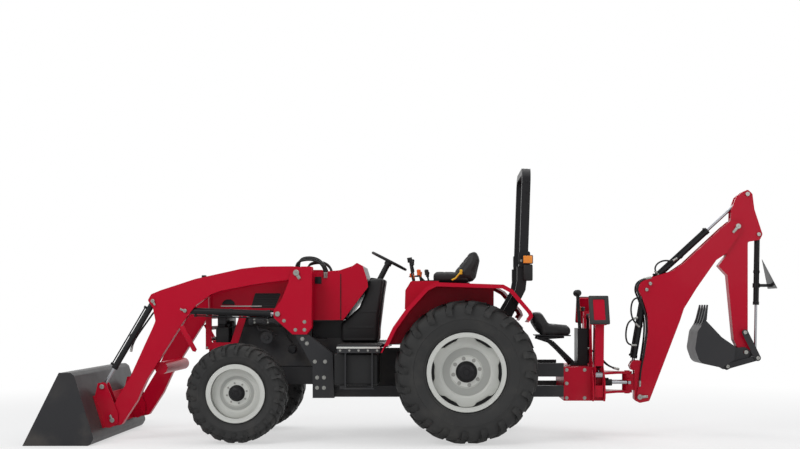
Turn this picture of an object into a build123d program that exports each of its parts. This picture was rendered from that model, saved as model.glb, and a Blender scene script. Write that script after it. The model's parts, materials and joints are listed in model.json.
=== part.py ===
from build123d import *
import math
import os

# Frame: millimetres, +Z up, front of the tractor towards -X, its left side towards -Y.
# Every X below is measured from the rear axle, and save() moves the whole machine so
# that the origin lies on the ground under the middle of its length.
REAR_AXLE_X = 467.46
GROUND_Z = 0

# Wheels
WHEELBASE = 1985
FRONT_AXLE_X = -WHEELBASE
REAR_TYRE_RADIUS = 622
REAR_TYRE_WIDTH = 440
REAR_WHEEL_Y = 690
REAR_RIM_RADIUS = 340
FRONT_TYRE_RADIUS = 436
FRONT_TYRE_WIDTH = 300
FRONT_WHEEL_Y = 680
FRONT_RIM_RADIUS = 252
RIM_WALL = 9
SEAT_GAP = 0.3

# Steering
KINGPIN_Y = 480
KINGPIN_RADIUS = 20
PIN_PLAY = 0.1

# Loader
ARM_Y = 500
ARM_WIDTH = 78
TOWER_PLATE = 12
TOWER_GAP = 8
LOADER_PIVOT = (-1492, 1481)
LIFT_BARREL_PIN = (-2473, 1148)
LIFT_ROD_PIN = (-1656, 1119)
TILT_BARREL_PIN = (-2756, 1234)
TILT_ROD_PIN = (-3198, 481)
BUCKET_PIVOT = (-3109, 187)
LIFT_STROKE = (818, 1240)
TILT_STROKE = (760, 1345)
LOADER_BUCKET_WIDTH = 1830
LOADER_BUCKET_WALL = 10
LOADER_BUCKET_LIP_X = -3777

# Backhoe
SWING_X = 1496
BOOM_FOOT = (1602, 355)
BOOM_ROD_PIN = (1545, 640)
BOOM_BARREL_PIN = (1665, 1340)
DIPPER_BARREL_PIN = (1698, 1396)
DIPPER_PIVOT = (2505, 1922)
DIPPER_ROD_PIN = (2595, 2219)
BUCKET_BARREL_PIN = (2698, 1849)
GUIDE_PIN = (2563, 948)
LINK_PIN = (2679, 714)
BACKHOE_BUCKET_PIVOT = (2576, 766)
BUCKET_LINK_PIN = (2407, 637)
BOOM_STROKE = (710, 1076)
DIPPER_STROKE = (802, 1219)
BUCKET_STROKE = (718, 1136)
BACKHOE_BUCKET_WIDTH = 400
BOOM_HALF_WIDTH = 76
BOOM_SIDE_PLATE = 14
DIPPER_HALF_WIDTH = 55
SWING_LUG_REACH = 118
SWING_ROD_Z = 492

# Stabilisers, as places (Y outwards, Z) in their own plane
FRAME_HALF = 400
STABILISER_X = 1178
STABILISER_PIVOT = (FRAME_HALF + 50, 420)
STABILISER_ARM_LENGTH = 700
STABILISER_REST_ANGLE = 84
STABILISER_LEVER = 160
STABILISER_BARREL_PIN = (240, 1090)
STABILISER_STROKE = (555, 832)

# Roll bar
ROPS_Y = 425
ROPS_WIDTH = 60
ROPS_DEPTH = 76
ROPS_HINGE = (520, 1640)
ROPS_TOP_Z = 2432

# Cylinders: outer radius of the barrel, radius of the rod
RAM_LARGE = (29, 15)
RAM_SMALL = (26, 13)
EYE_RADIUS = 27
EYE_WIDTH = 60
PIN_RADIUS = 13
LUG_GAP = 3
ROD_NOSE = 70
PIN_HEAD = 10

NODES = {}


# Shapes
def xz_face(*corners):
    """A face drawn from the side: corners are (x, z) or (x, z, rounding)."""
    sketch = make_face(Polyline(*[corner[:2] for corner in corners], close=True))
    for corner in corners:
        if len(corner) == 3:
            place = Vector(corner[0], corner[1], 0)
            sketch = fillet(sketch.vertices().sort_by_distance(place)[0], corner[2])
    return sketch


def side_slab(sketch, y_from, y_to):
    """Extrudes a side view from one Y to the other."""
    return extrude(Plane.XZ.offset(-y_to) * sketch, amount=y_to - y_from)


def front_slab(sketch, x_from, x_to):
    """Extrudes a front view, drawn in Y and Z, from one X to the other."""
    return extrude(Plane.YZ.offset(x_from) * sketch, amount=x_to - x_from)


def block(x_from, x_to, y_from, y_to, z_from, z_to):
    size = (x_to - x_from, y_to - y_from, z_to - z_from)
    middle = Pos((x_from + x_to) / 2, (y_from + y_to) / 2, (z_from + z_to) / 2)
    return middle * Box(*size)


def bar(start, end, radius):
    """A round bar from one point to another."""
    run = Vector(*end) - Vector(*start)
    place = Plane(origin=start, z_dir=run)
    return place * Cylinder(radius, run.length, align=(Align.CENTER, Align.CENTER, Align.MIN))


def boss(centre, axis, radius, width):
    """A round boss centred on a point."""
    return Plane(origin=centre, z_dir=axis) * Cylinder(radius, width)


def cross_pin(place, y_from, y_to, radius=PIN_RADIUS):
    """A pin along Y at a side-view place."""
    return bar((place[0], y_from, place[1]), (place[0], y_to, place[1]), radius)


def mirrored(solid):
    return mirror(solid, about=Plane.XZ)


def both_sides(solid):
    return solid + mirrored(solid)


def save(name, *shapes):
    """Keeps a node, moved from the rear axle's frame to the origin."""
    solids = [solid for shape in shapes for solid in shape.solids()]
    moved = [Pos(REAR_AXLE_X, 0, GROUND_Z) * solid for solid in solids]
    NODES[name] = moved[0] if len(moved) == 1 else Compound(children=moved)


# Cylinders
def ram(base, tip, hinge, stroke, sizes):
    """A hydraulic cylinder at rest: a barrel pinned at base and a rod whose eye lies at tip."""
    barrel_radius, rod_radius = sizes
    closed, opened = stroke
    base, tip, hinge = Vector(*base), Vector(*tip), Vector(*hinge)
    along = (tip - base).normalized()
    gland = closed - ROD_NOSE
    reach = opened - gland + 60
    barrel = bar(base + along * EYE_RADIUS * 0.7, base + along * (gland - 24), barrel_radius)
    barrel += bar(base + along * (gland - 30), base + along * gland, barrel_radius + 3)
    barrel += boss(base, hinge, EYE_RADIUS, EYE_WIDTH)
    barrel -= boss(base, hinge, PIN_RADIUS + PIN_PLAY, EYE_WIDTH * 2)
    barrel -= bar(base + along * (EYE_RADIUS + 25), base + along * (gland + 50), rod_radius + PIN_PLAY)
    rod = bar(tip - along * EYE_RADIUS * 0.7, tip - along * reach, rod_radius)
    rod += boss(tip, hinge, EYE_RADIUS, EYE_WIDTH)
    rod -= boss(tip, hinge, PIN_RADIUS + PIN_PLAY, EYE_WIDTH * 2)
    return barrel, rod


def side_ram(base, tip, y, stroke, sizes):
    return ram((base[0], y, base[1]), (tip[0], y, tip[1]), (0, 1, 0), stroke, sizes)


# Wheels
def tyre(radius, width, rim_radius, centre_y):
    """A tyre standing at the origin's axle: a revolved carcass with its tread face."""
    half = width / 2
    seat = rim_radius - 22
    corners = [
        (seat + SEAT_GAP, -half * 0.74), (rim_radius + 12, -half * 0.80),
        ((radius + rim_radius) / 2, -half), (radius * 0.93, -half * 0.94), (radius, -half * 0.74),
        (radius, half * 0.74), (radius * 0.93, half * 0.94), ((radius + rim_radius) / 2, half),
        (rim_radius + 12, half * 0.80), (seat + SEAT_GAP, half * 0.74),
    ]
    section = make_face(Polyline(*corners, close=True))
    ring = revolve(Plane(origin=(0, 0, 0), x_dir=(0, 0, 1), z_dir=(-1, 0, 0)) * section, Axis.Y)
    return Pos(0, centre_y, 0) * ring


def rim(rim_radius, width, centre_y, hub_radius, hub_inner_y, bore_radius, bore_end_y, outward):
    """A rim with its dish: drawn as radius and distance outwards from the wheel's middle."""
    half = width / 2 * 0.74
    seat = rim_radius - 22
    inner = seat - RIM_WALL
    dish = half * 0.35
    corners = [
        (bore_radius, hub_inner_y), (hub_radius, hub_inner_y), (hub_radius, dish - 14), (inner, dish - 14),
        (inner, -half - 24), (rim_radius, -half - 24), (rim_radius, -half - 12), (seat, -half - 12),
        (seat, half + 12), (rim_radius, half + 12), (rim_radius, half + 24), (inner, half + 24),
        (inner, dish), (hub_radius, dish), (hub_radius * 0.8, dish + 50), (0, dish + 50), (0, bore_end_y),
        (bore_radius, bore_end_y),
    ]
    section = make_face(Polyline(*corners, close=True))
    turned = revolve(Plane(origin=(0, 0, 0), x_dir=(0, 0, 1), z_dir=(-1, 0, 0)) * section, Axis.Y)
    if outward < 0:
        turned = mirror(turned, about=Plane.XZ)
    return Pos(0, centre_y, 0) * turned


FRONT_HUB_INNER = 545 - FRONT_WHEEL_Y
FRONT_SPINDLE_END = 690
FRONT_SPINDLE_RADIUS = 32
REAR_HUB_INNER = 456 - REAR_WHEEL_Y
REAR_SPINDLE_END = 640
REAR_SPINDLE_RADIUS = 48
for side, name in ((-1, "left"), (1, "right")):
    front = Pos(FRONT_AXLE_X, 0, FRONT_TYRE_RADIUS)
    rear = Pos(0, 0, REAR_TYRE_RADIUS)
    save(f"front_tyre_{name}", front * tyre(FRONT_TYRE_RADIUS, FRONT_TYRE_WIDTH, FRONT_RIM_RADIUS, side * FRONT_WHEEL_Y))
    save(f"rear_tyre_{name}", rear * tyre(REAR_TYRE_RADIUS, REAR_TYRE_WIDTH, REAR_RIM_RADIUS, side * REAR_WHEEL_Y))
    save(f"front_rim_{name}", front * rim(
        FRONT_RIM_RADIUS, FRONT_TYRE_WIDTH, side * FRONT_WHEEL_Y, 62, FRONT_HUB_INNER,
        FRONT_SPINDLE_RADIUS + PIN_PLAY, FRONT_SPINDLE_END + 5 - FRONT_WHEEL_Y, side))
    save(f"rear_rim_{name}", rear * rim(
        REAR_RIM_RADIUS, REAR_TYRE_WIDTH, side * REAR_WHEEL_Y, 84, REAR_HUB_INNER,
        REAR_SPINDLE_RADIUS + PIN_PLAY, REAR_SPINDLE_END + 5 - REAR_WHEEL_Y, side))

# Chassis: rails, front bolster, axle bracket, loader bracket and the subframe back to the backhoe
RAIL_Y = (165, 195)
RAIL_Z = (480, 640)
RAIL_X = (-2330, -1255)
AXLE_BRACKET_X = (-2070, -2040, -1930, -1900)
AXLE_PIN_RADIUS = 22
FRONT_WHEEL_Z = FRONT_TYRE_RADIUS
TOW_HOLE_X = -2375
TOW_HOLE_RADIUS = 15
TOW_PLATE_Z = (540, 580)
TOWER_FOOT_Z = 940
SUBFRAME_Y = (345, 400)
SUBFRAME_Z = (380, 480)
SUBFRAME_REAR_X = 873.7
BRACKET_X = (-1350, -1220)
BRACKET_Y = (455, 545)
TANK_Z = (500, 780)
rails = both_sides(block(RAIL_X[0], RAIL_X[1], RAIL_Y[0], RAIL_Y[1], *RAIL_Z))
bolster = block(RAIL_X[0] - 10, RAIL_X[0] + 90, -RAIL_Y[1], RAIL_Y[1], RAIL_Z[0], RAIL_Z[1] + 20)
tow_plate = block(TOW_HOLE_X - 35, RAIL_X[0], -60, 60, *TOW_PLATE_Z)
tow_plate -= bar((TOW_HOLE_X, 0, 0), (TOW_HOLE_X, 0, 900), TOW_HOLE_RADIUS)
axle_bracket = block(AXLE_BRACKET_X[0], AXLE_BRACKET_X[3], -RAIL_Y[1], RAIL_Y[1], RAIL_Z[0], RAIL_Z[0] + 20)
for start in (0, 2):
    axle_bracket += block(AXLE_BRACKET_X[start], AXLE_BRACKET_X[start + 1], -80, 80, 395, RAIL_Z[0])
axle_bracket += bar((AXLE_BRACKET_X[0], 0, FRONT_WHEEL_Z), (AXLE_BRACKET_X[3], 0, FRONT_WHEEL_Z), AXLE_PIN_RADIUS)
bracket_side = xz_face((-1505, TOWER_FOOT_Z), (-1390, TOWER_FOOT_Z), (-1175, 770), (BRACKET_X[1] + 60, SUBFRAME_Z[0]),
                       (BRACKET_X[0], SUBFRAME_Z[0]), (BRACKET_X[0], 660))
loader_bracket = side_slab(bracket_side, *BRACKET_Y)
loader_bracket += block(*BRACKET_X, RAIL_Y[1], BRACKET_Y[0], SUBFRAME_Z[0], 640)
subframe = block(BRACKET_X[1], SUBFRAME_REAR_X, *SUBFRAME_Y, *SUBFRAME_Z)
subframe += block(560, SUBFRAME_REAR_X, *SUBFRAME_Y, 560, 680)
subframe += block(560, 640, *SUBFRAME_Y, SUBFRAME_Z[0], 680)
for x in (-1100, -860):
    subframe += block(x, x + 40, SUBFRAME_Y[1] - 5, 690, SUBFRAME_Z[1] - 10, TANK_Z[0] - SEAT_GAP)
chassis = rails + bolster + tow_plate + axle_bracket + both_sides(loader_bracket + subframe)
save("chassis", chassis)

# Engine with its pan, cover, fan and radiator
ENGINE_X = (-2120, -1255)
engine = block(ENGINE_X[0], -1394, -185, 185, RAIL_Z[1] + 5, 1000)
engine += block(-1400, ENGINE_X[1], -185, 185, RAIL_Z[1] + 5, 895)
engine += block(-2000, -1300, -150, 150, 510, RAIL_Z[1] + 10)
engine += fillet(block(-2080, -1420, -95, 95, 990, 1090).edges().filter_by(Axis.X).group_by(Axis.Z)[-1], 30)
fan = boss((-2145, 0, 880), (1, 0, 0), 175, 24) + bar((-2150, 0, 880), ((ENGINE_X[0] + 5), 0, 880), 30)
radiator = block(-2245, -2185, -215, 215, RAIL_Z[1] + 20, 1105)
radiator += block(-2250, -2180, -120, 120, 1100, 1125)
save("engine", engine + fan, radiator)

# Bell housing, gearbox, rear axle housing and spindles
REAR_WHEEL_Z = REAR_TYRE_RADIUS
transaxle = block(ENGINE_X[1], -1080, -190, 190, 490, 900)
transaxle += block(-1085, -240, -150, 150, 430, 800)
transaxle += block(-250, 300, -180, 180, 430, 850)
trumpet = bar((0, 175, REAR_WHEEL_Z), (0, 425, REAR_WHEEL_Z), 88)
trumpet += bar((0, 420, REAR_WHEEL_Z), (0, 450, REAR_WHEEL_Z), 125)
trumpet += bar((0, 440, REAR_WHEEL_Z), (0, REAR_SPINDLE_END, REAR_WHEEL_Z), REAR_SPINDLE_RADIUS)
save("transaxle", transaxle + both_sides(trumpet))

# Front axle with kingpin yokes, and the knuckles that turn in them
YOKE_HALF = 72
YOKE_EAR = 28
KNUCKLE_CLEAR = 2
AXLE_HALF_X = 44
axle_x = FRONT_AXLE_X
axle = block(axle_x - AXLE_HALF_X, axle_x + AXLE_HALF_X, -400, 400, FRONT_WHEEL_Z - 42, FRONT_WHEEL_Z + 38)
axle -= bar((axle_x - 100, 0, FRONT_WHEEL_Z), (axle_x + 100, 0, FRONT_WHEEL_Z), AXLE_PIN_RADIUS + PIN_PLAY)
yoke = block(axle_x - AXLE_HALF_X, axle_x + AXLE_HALF_X, 390, 430, FRONT_WHEEL_Z - YOKE_HALF - YOKE_EAR,
             FRONT_WHEEL_Z + YOKE_HALF + YOKE_EAR)
for low in (-YOKE_HALF - YOKE_EAR, YOKE_HALF):
    z = FRONT_WHEEL_Z + low
    yoke += block(axle_x - AXLE_HALF_X, axle_x + AXLE_HALF_X, 420, KINGPIN_Y, z, z + YOKE_EAR)
    yoke += bar((axle_x, KINGPIN_Y, z), (axle_x, KINGPIN_Y, z + YOKE_EAR), AXLE_HALF_X)
yoke += bar((axle_x, KINGPIN_Y, FRONT_WHEEL_Z - YOKE_HALF - 5), (axle_x, KINGPIN_Y, FRONT_WHEEL_Z + YOKE_HALF + 5),
            KINGPIN_RADIUS)
save("front_axle", axle + both_sides(yoke))
knuckle_half = YOKE_HALF - KNUCKLE_CLEAR
knuckle = bar((axle_x, KINGPIN_Y, FRONT_WHEEL_Z - knuckle_half), (axle_x, KINGPIN_Y, FRONT_WHEEL_Z + knuckle_half), 42)
knuckle += bar((axle_x, KINGPIN_Y, FRONT_WHEEL_Z), (axle_x, 538, FRONT_WHEEL_Z), 50)
knuckle += bar((axle_x, 530, FRONT_WHEEL_Z), (axle_x, FRONT_SPINDLE_END, FRONT_WHEEL_Z), FRONT_SPINDLE_RADIUS)
knuckle -= bar((axle_x, KINGPIN_Y, 0), (axle_x, KINGPIN_Y, 900), KINGPIN_RADIUS + PIN_PLAY)
save("knuckle_right", knuckle)
save("knuckle_left", mirrored(knuckle))

# Loader towers and brush guard
ARM_IN = ARM_Y - ARM_WIDTH / 2
ARM_OUT = ARM_Y + ARM_WIDTH / 2
TOWER_IN = (ARM_IN - TOWER_GAP - TOWER_PLATE, ARM_IN - TOWER_GAP)
TOWER_OUT = (ARM_OUT + TOWER_GAP, ARM_OUT + TOWER_GAP + TOWER_PLATE)
LOADER_PIN_RADIUS = 25
tower_face = xz_face((-1449, 1537, 18), (-1354, 1537, 12), (-1358, 1000, 20), (-1401, TOWER_FOOT_Z),
                     (-1525, TOWER_FOOT_Z), (-1690, 1086, 14), (-1692, 1148, 20), (-1621, 1248, 60),
                     (-1560, 1400, 60), (-1542, 1500, 30))
tower = side_slab(tower_face, *TOWER_IN) + side_slab(tower_face, *TOWER_OUT)
tower += block(-1520, -1402, TOWER_IN[0], TOWER_OUT[1], TOWER_FOOT_Z, 1010)
tower += block(-1374, -1360, TOWER_IN[0], TOWER_OUT[1], 1005, 1380)
tower += cross_pin(LOADER_PIVOT, TOWER_IN[0] - PIN_HEAD, TOWER_OUT[1] + PIN_HEAD, LOADER_PIN_RADIUS)
for plate in (TOWER_IN[0] - PIN_HEAD, TOWER_OUT[0] + 2):
    tower += cross_pin(LIFT_ROD_PIN, plate, plate + PIN_HEAD + TOWER_PLATE - 2, 22)
GUARD_Y = (286, 300)
GUARD_X = -2312
guard_face = xz_face((-2338, 1118, 10), (-2284, 1118, 10), (-2284, 862, 12), (-2112, 862, 12), (-2030, 1118, 10),
                     (-1962, 1118, 10), (-2066, 800, 10), (-2338, 800, 10))
guard = both_sides(side_slab(guard_face, *GUARD_Y))
for z in (1090, 990, 890):
    guard += bar((GUARD_X, -GUARD_Y[1] + 2, z), (GUARD_X, GUARD_Y[1] - 2, z), 17)
guard += block(-2338, -2262, -GUARD_Y[1], GUARD_Y[1], 800, 812)
guard += both_sides(block(-2325, -2255, RAIL_Y[1] + 0.3, RAIL_Y[1] + 15, 500, 806))
save("loader_mounts", both_sides(tower), guard)

# Hood: a thin shell, open below and behind, with side vents; its trim and lamps
HOOD_X = (-2330, -1396)
HOOD_HALF = 322
HOOD_WALL = 6
HOOD_TOP = (1436, 1490)
HOOD_SILL = 1150
HOOD_HINGE = (-1410, 1476)
HOOD_EAR_Y = (100, 112)
HOOD_PIN_RADIUS = 4


def hood_body(inset):
    nose, tail = HOOD_X[0] + inset, HOOD_X[1]
    face = xz_face((nose + 14, HOOD_SILL), (nose, HOOD_TOP[0] - 60, 90), (nose + 26, HOOD_TOP[0] - inset, 60),
                   (tail, HOOD_TOP[1] - inset), (tail, HOOD_SILL))
    body = side_slab(face, inset - HOOD_HALF, HOOD_HALF - inset)
    top_edges = body.edges().filter_by(lambda edge: abs(abs(edge.center().Y) - HOOD_HALF + inset) < 1)
    top_edges = top_edges.filter_by(lambda edge: edge.center().Z > HOOD_TOP[0] - 80)
    return fillet(top_edges, 55 - inset)


hood = hood_body(0)
inner = hood_body(HOOD_WALL)
hood -= inner
hood -= block(HOOD_X[0] + 30, HOOD_X[1] + 10, -HOOD_HALF + HOOD_WALL, HOOD_HALF - HOOD_WALL, HOOD_SILL - 10, HOOD_SILL + 8)
vent_face = xz_face((-1890, 1305, 10), (-1656, 1305, 10), (-1712, 1170, 10), (-1930, 1170, 10))
vent = side_slab(vent_face, -HOOD_HALF - 5, HOOD_HALF + 5)
hood -= vent
hood_ear = side_slab(xz_face((HOOD_HINGE[0] - 9, HOOD_HINGE[1] + 10), (HOOD_HINGE[0] + 9, HOOD_HINGE[1] + 10),
                             (HOOD_HINGE[0] + 9, HOOD_HINGE[1] - 9, 7), (HOOD_HINGE[0] - 9, HOOD_HINGE[1] - 9, 7)), *HOOD_EAR_Y)
hood_ear -= cross_pin(HOOD_HINGE, 0, 200, HOOD_PIN_RADIUS + PIN_PLAY)
hood += both_sides(hood_ear)
save("hood", hood)
louvre = both_sides(side_slab(offset(vent_face, 10), HOOD_HALF - HOOD_WALL - 7, HOOD_HALF - HOOD_WALL - SEAT_GAP))
save("hood_grilles", louvre)

# Cowl behind the hood
cowl_face = xz_face((-1384, 1488), (-1131, 1511), (-1014, 1550, 20), (-976, 1578, 12), (-922, 1548, 14), (-880, 1414),
                    (-876, 1360, 10), (-1098, 1065, 10), (-1384, 1047))
COWL_HALF = 330
cowl = side_slab(cowl_face, -COWL_HALF, COWL_HALF)
cowl += block(-1384, -1110, -180, 180, 900, 1060)
hood_arm = block(HOOD_HINGE[0] - 6, -1380, HOOD_EAR_Y[1] + 2, HOOD_EAR_Y[1] + 12, 1428, 1442)
hood_arm += block(HOOD_HINGE[0] - 6, HOOD_HINGE[0] + 6, HOOD_EAR_Y[1] + 2, HOOD_EAR_Y[1] + 12, 1435, HOOD_HINGE[1])
hood_arm += cross_pin(HOOD_HINGE, HOOD_EAR_Y[1] + 2, HOOD_EAR_Y[1] + 12, 6)
hood_arm += cross_pin(HOOD_HINGE, HOOD_EAR_Y[0] - 2, HOOD_EAR_Y[1] + 12, HOOD_PIN_RADIUS)
cowl += both_sides(hood_arm)
save("cowl", cowl)

# Steering console, column and pedals
FLOOR_Z = 853
STEERING_CENTRE = (-700, 1604)
STEERING_TILT = (0.459, 0.888)
STEERING_RADIUS = 168
console_face = xz_face((-874, 1452, 20), (-724, 1430, 20), (-745, 1300, 20), (-800, FLOOR_Z), (-874, FLOOR_Z))
console = side_slab(console_face, -120, 120)
column_top = (STEERING_CENTRE[0] - STEERING_TILT[0] * 40.4, 0, STEERING_CENTRE[1] - STEERING_TILT[1] * 40.4)
column_foot = (STEERING_CENTRE[0] - STEERING_TILT[0] * 230, 0, STEERING_CENTRE[1] - STEERING_TILT[1] * 230)
console += bar(column_foot, column_top, 26)
save("console", console)
wheel_plane = Plane(origin=(STEERING_CENTRE[0], 0, STEERING_CENTRE[1]), z_dir=(STEERING_TILT[0], 0, STEERING_TILT[1]))
steering = wheel_plane * revolve(Plane.XZ * Pos(STEERING_RADIUS, 0) * RegularPolygon(13, 10), Axis.Z)
steering += wheel_plane * Pos(0, 0, -20) * Cylinder(34, 40)
for turn in (90, 210, 330):
    steering += wheel_plane * Rot(0, 0, turn) * Pos(STEERING_RADIUS / 2, 0, -4) * Box(STEERING_RADIUS, 26, 9)
save("steering_wheel", steering)

# Platform with its steps
PLATFORM_Y = 760
platform = block(-1117, -745, -PLATFORM_Y, PLATFORM_Y, FLOOR_Z - 8, FLOOR_Z)
platform -= block(-1120, -874, -196, 196, 0, 2000)
platform += both_sides(block(-1117, -746, PLATFORM_Y - 8, PLATFORM_Y, 784, FLOOR_Z - 4))
platform += block(-750, -250, SEAT_GAP - 383, 383 - SEAT_GAP, FLOOR_Z - 8, FLOOR_Z)
step = block(-1060, -800, 715, 755, 470, 482)
for x in (-1052, -820):
    step += block(x, x + 12, 700 + SEAT_GAP, 755, 475, 790)
platform += both_sides(step)

# Tank on the left, battery box on the right
tank = fillet(block(-1150, -765, -700, -420, *TANK_Z).edges(), 22)
battery_box = fillet(block(-1150, -765, 420, 700, *TANK_Z).edges(), 12)
save("side_tanks", tank, battery_box)

# Fenders over the rear wheels
FENDER_Y = (272, 892)
FENDER_SKIN = 5
FENDER_WALL_Y = 388
FENDER_LINE = [(-733, 790), (-630, 1007), (-515, 1168), (-349, 1349), (-262, 1391), (314, 1372), (392, 1329),
               (552, 1143), (566, 1101), (525, 1046)]


fender_hull = make_face(Polyline(*FENDER_LINE, close=True))


def fender_band(depth):
    """The strip of the fender's outline from its outer line to a depth inside it."""
    strip = fender_hull - offset(fender_hull, -depth)
    chord = make_face(Polyline((-760, 700), (-733 + depth + 2, 797 + depth * 1.4), (525 - depth - 2, 1044 + depth * 1.3), (600, 1030), (600, 700),
                               close=True))
    return strip - chord


skin = side_slab(fender_band(FENDER_SKIN), *FENDER_Y)
lip = side_slab(fender_band(34), FENDER_Y[1] - FENDER_SKIN, FENDER_Y[1])
wall_face = xz_face(*FENDER_LINE[:-2], (525, 900), (-640, 853), (-733, 853))
wall = side_slab(wall_face, FENDER_WALL_Y - FENDER_SKIN, FENDER_WALL_Y)
fender = skin + lip + wall
fender -= block(250, 620, 0, FENDER_WALL_Y + 75, 700, 1700)
fender -= block(-900, 250, 0, FENDER_WALL_Y - FENDER_SKIN, 0, 1340)
save("fenders", both_sides(fender))

# Operator's seat
SEAT_HALF = 230
seat = fillet(block(-300, 60, -SEAT_HALF, SEAT_HALF, 1405, 1492).edges(), 25)
back_face = xz_face((-74, 1500, 20), (60, 1700, 30), (136, 1640, 30), (70, 1420, 20), (-20, 1420, 20))
seat += side_slab(back_face, -SEAT_HALF + 10, SEAT_HALF - 10)
save("operator_seat", seat)
base = block(-255, 120, -262, 262, FLOOR_Z, 1270)
base += block(-200, 40, -160, 160, 1265, 1405 - SEAT_GAP)
save("platform", platform + base)

# Lever consoles beside the seat
console_line = [(x - 0.4, z + 0.4) for x, z in FENDER_LINE[2:5]]
lever_console = xz_face((-545, 1160), (-540, 1330, 20), (-490, 1412, 20), (-240, 1425, 10), (-240, 1391.4),
                        *reversed(console_line))
levers = side_slab(lever_console, 280, 372)
levers += bar((-470, 330, 1400), (-500, 330, 1590), 8)
levers += boss((-501, 330, 1602), (-0.15, 0, 1), 22, 44)
for x in (-400, -330):
    levers += bar((x, 320, 1400), (x - 20, 320, 1480), 6)
    levers += boss((x - 21, 320, 1490), (0, 0, 1), 15, 40)
save("lever_consoles", both_sides(levers))

# Roll bar: fixed legs with lamps, and the folding hoop
ROPS_IN = ROPS_Y - ROPS_WIDTH / 2
ROPS_OUT = ROPS_Y + ROPS_WIDTH / 2
leg_face = xz_face((482, 1560), (556, 1560), (530, 1331), (240, 760), (200, 700), (-70, 700), (-70, 760), (130, 800),
                   (440, 1331))
leg = side_slab(leg_face, ROPS_IN, ROPS_OUT - 8)
ear_face = xz_face((470, 1540), (570, 1540), (ROPS_HINGE[0] + 50, ROPS_HINGE[1] + 35, 20),
                   (ROPS_HINGE[0] - 50, ROPS_HINGE[1] + 35, 20))
leg -= bar((0, 300, REAR_WHEEL_Z), (0, 460, REAR_WHEEL_Z), 125 + SEAT_GAP)
leg += side_slab(ear_face, ROPS_IN - 14, ROPS_IN - 6) + side_slab(ear_face, ROPS_OUT + 6, ROPS_OUT + 14)
leg += side_slab(xz_face((470, 1540), (570, 1540), (570, 1562), (470, 1562)), ROPS_IN - 14, ROPS_OUT + 14)
leg += cross_pin(ROPS_HINGE, ROPS_IN - 14, ROPS_OUT + 14, 12)
leg += block(455, 480, ROPS_IN, ROPS_OUT - 8, 1420, 1540)
lamp = fillet(block(500, 592, ROPS_OUT + 13, ROPS_OUT + 55, 1562, 1640).edges().filter_by(Axis.Y), 10)
leg += lamp
save("rops_base", both_sides(leg))
hoop_path = FilletPolyline(
    (ROPS_HINGE[0] - 8, ROPS_Y, 1575), (ROPS_HINGE[0] + 20, ROPS_Y, ROPS_TOP_Z - ROPS_DEPTH / 2),
    (ROPS_HINGE[0] + 20, -ROPS_Y, ROPS_TOP_Z - ROPS_DEPTH / 2), (ROPS_HINGE[0] - 8, -ROPS_Y, 1575), radius=110)
hoop_section = Plane(origin=hoop_path @ 0, x_dir=(0, 1, 0), z_dir=hoop_path % 0) * Rectangle(ROPS_WIDTH, ROPS_DEPTH)
hoop = sweep(hoop_section, path=hoop_path)
hoop -= cross_pin(ROPS_HINGE, -600, 600, 12 + PIN_PLAY)
save("rops_hoop", hoop)

# Loader arms, cross tube and pins
arm_face = xz_face(
    (-2802, 1240, 20), (-2772, 1294, 20), (-2685, 1330), (-2537, 1378), (-2385, 1428), (-2181, 1473), (-1978, 1518),
    (-1798, 1538), (-1528, 1540, 30), (-1440, 1530, 40), (-1432, 1450, 40), (-1530, 1424, 20), (-1572, 1420),
    (-1865, 1381), (-2159, 1324), (-2249, 1291), (-2372, 1200, 60), (-2440, 1120, 25), (-2508, 1022), (-2809, 541),
    (-2894, 356), (-3030, 147, 20), (-3109, 132, 30), (-3160, 187, 30), (-3068, 381, 40), (-2956, 566),
    (-2833, 837), (-2759, 997), (-2734, 1059, 40), (-2756, 1172, 40))
arm = side_slab(arm_face, ARM_IN, ARM_OUT)
EYE_SLOT = EYE_WIDTH / 2 + LUG_GAP
arm -= boss((TILT_BARREL_PIN[0], ARM_Y, TILT_BARREL_PIN[1]), (0, 1, 0), EYE_RADIUS + 12, EYE_SLOT * 2)
arm -= block(-2840, TILT_BARREL_PIN[0] + 20, ARM_Y - EYE_SLOT, ARM_Y + EYE_SLOT, 900, TILT_BARREL_PIN[1])
arm -= boss((LIFT_BARREL_PIN[0], ARM_Y, LIFT_BARREL_PIN[1]), (0, 1, 0), EYE_RADIUS + 12, EYE_SLOT * 2)
arm -= block(LIFT_BARREL_PIN[0], -2200, ARM_Y - EYE_SLOT, ARM_Y + EYE_SLOT, 1060, LIFT_BARREL_PIN[1] + 36)
arm += cross_pin(TILT_BARREL_PIN, ARM_IN - PIN_HEAD, ARM_OUT + PIN_HEAD)
lift_ear = side_slab(xz_face((-2515, 1200), (-2400, 1200), (-2440, 1108, 20), (-2510, 1100, 20)), ARM_IN, ARM_OUT)
lift_ear -= boss((LIFT_BARREL_PIN[0], ARM_Y, LIFT_BARREL_PIN[1]), (0, 1, 0), 200, EYE_SLOT * 2)
arm += lift_ear
arm += cross_pin(LIFT_BARREL_PIN, ARM_IN - PIN_HEAD, ARM_OUT + PIN_HEAD)
arm -= cross_pin(LOADER_PIVOT, ARM_IN - 50, ARM_OUT + 50, LOADER_PIN_RADIUS + PIN_PLAY)
arm -= cross_pin(BUCKET_PIVOT, ARM_IN - 50, ARM_OUT + 50, 20 + PIN_PLAY)
loader_arms = both_sides(arm) + bar((-2700, -ARM_IN - 5, 640), (-2700, ARM_IN + 5, 640), 55)
save("loader_arms", loader_arms)

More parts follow.
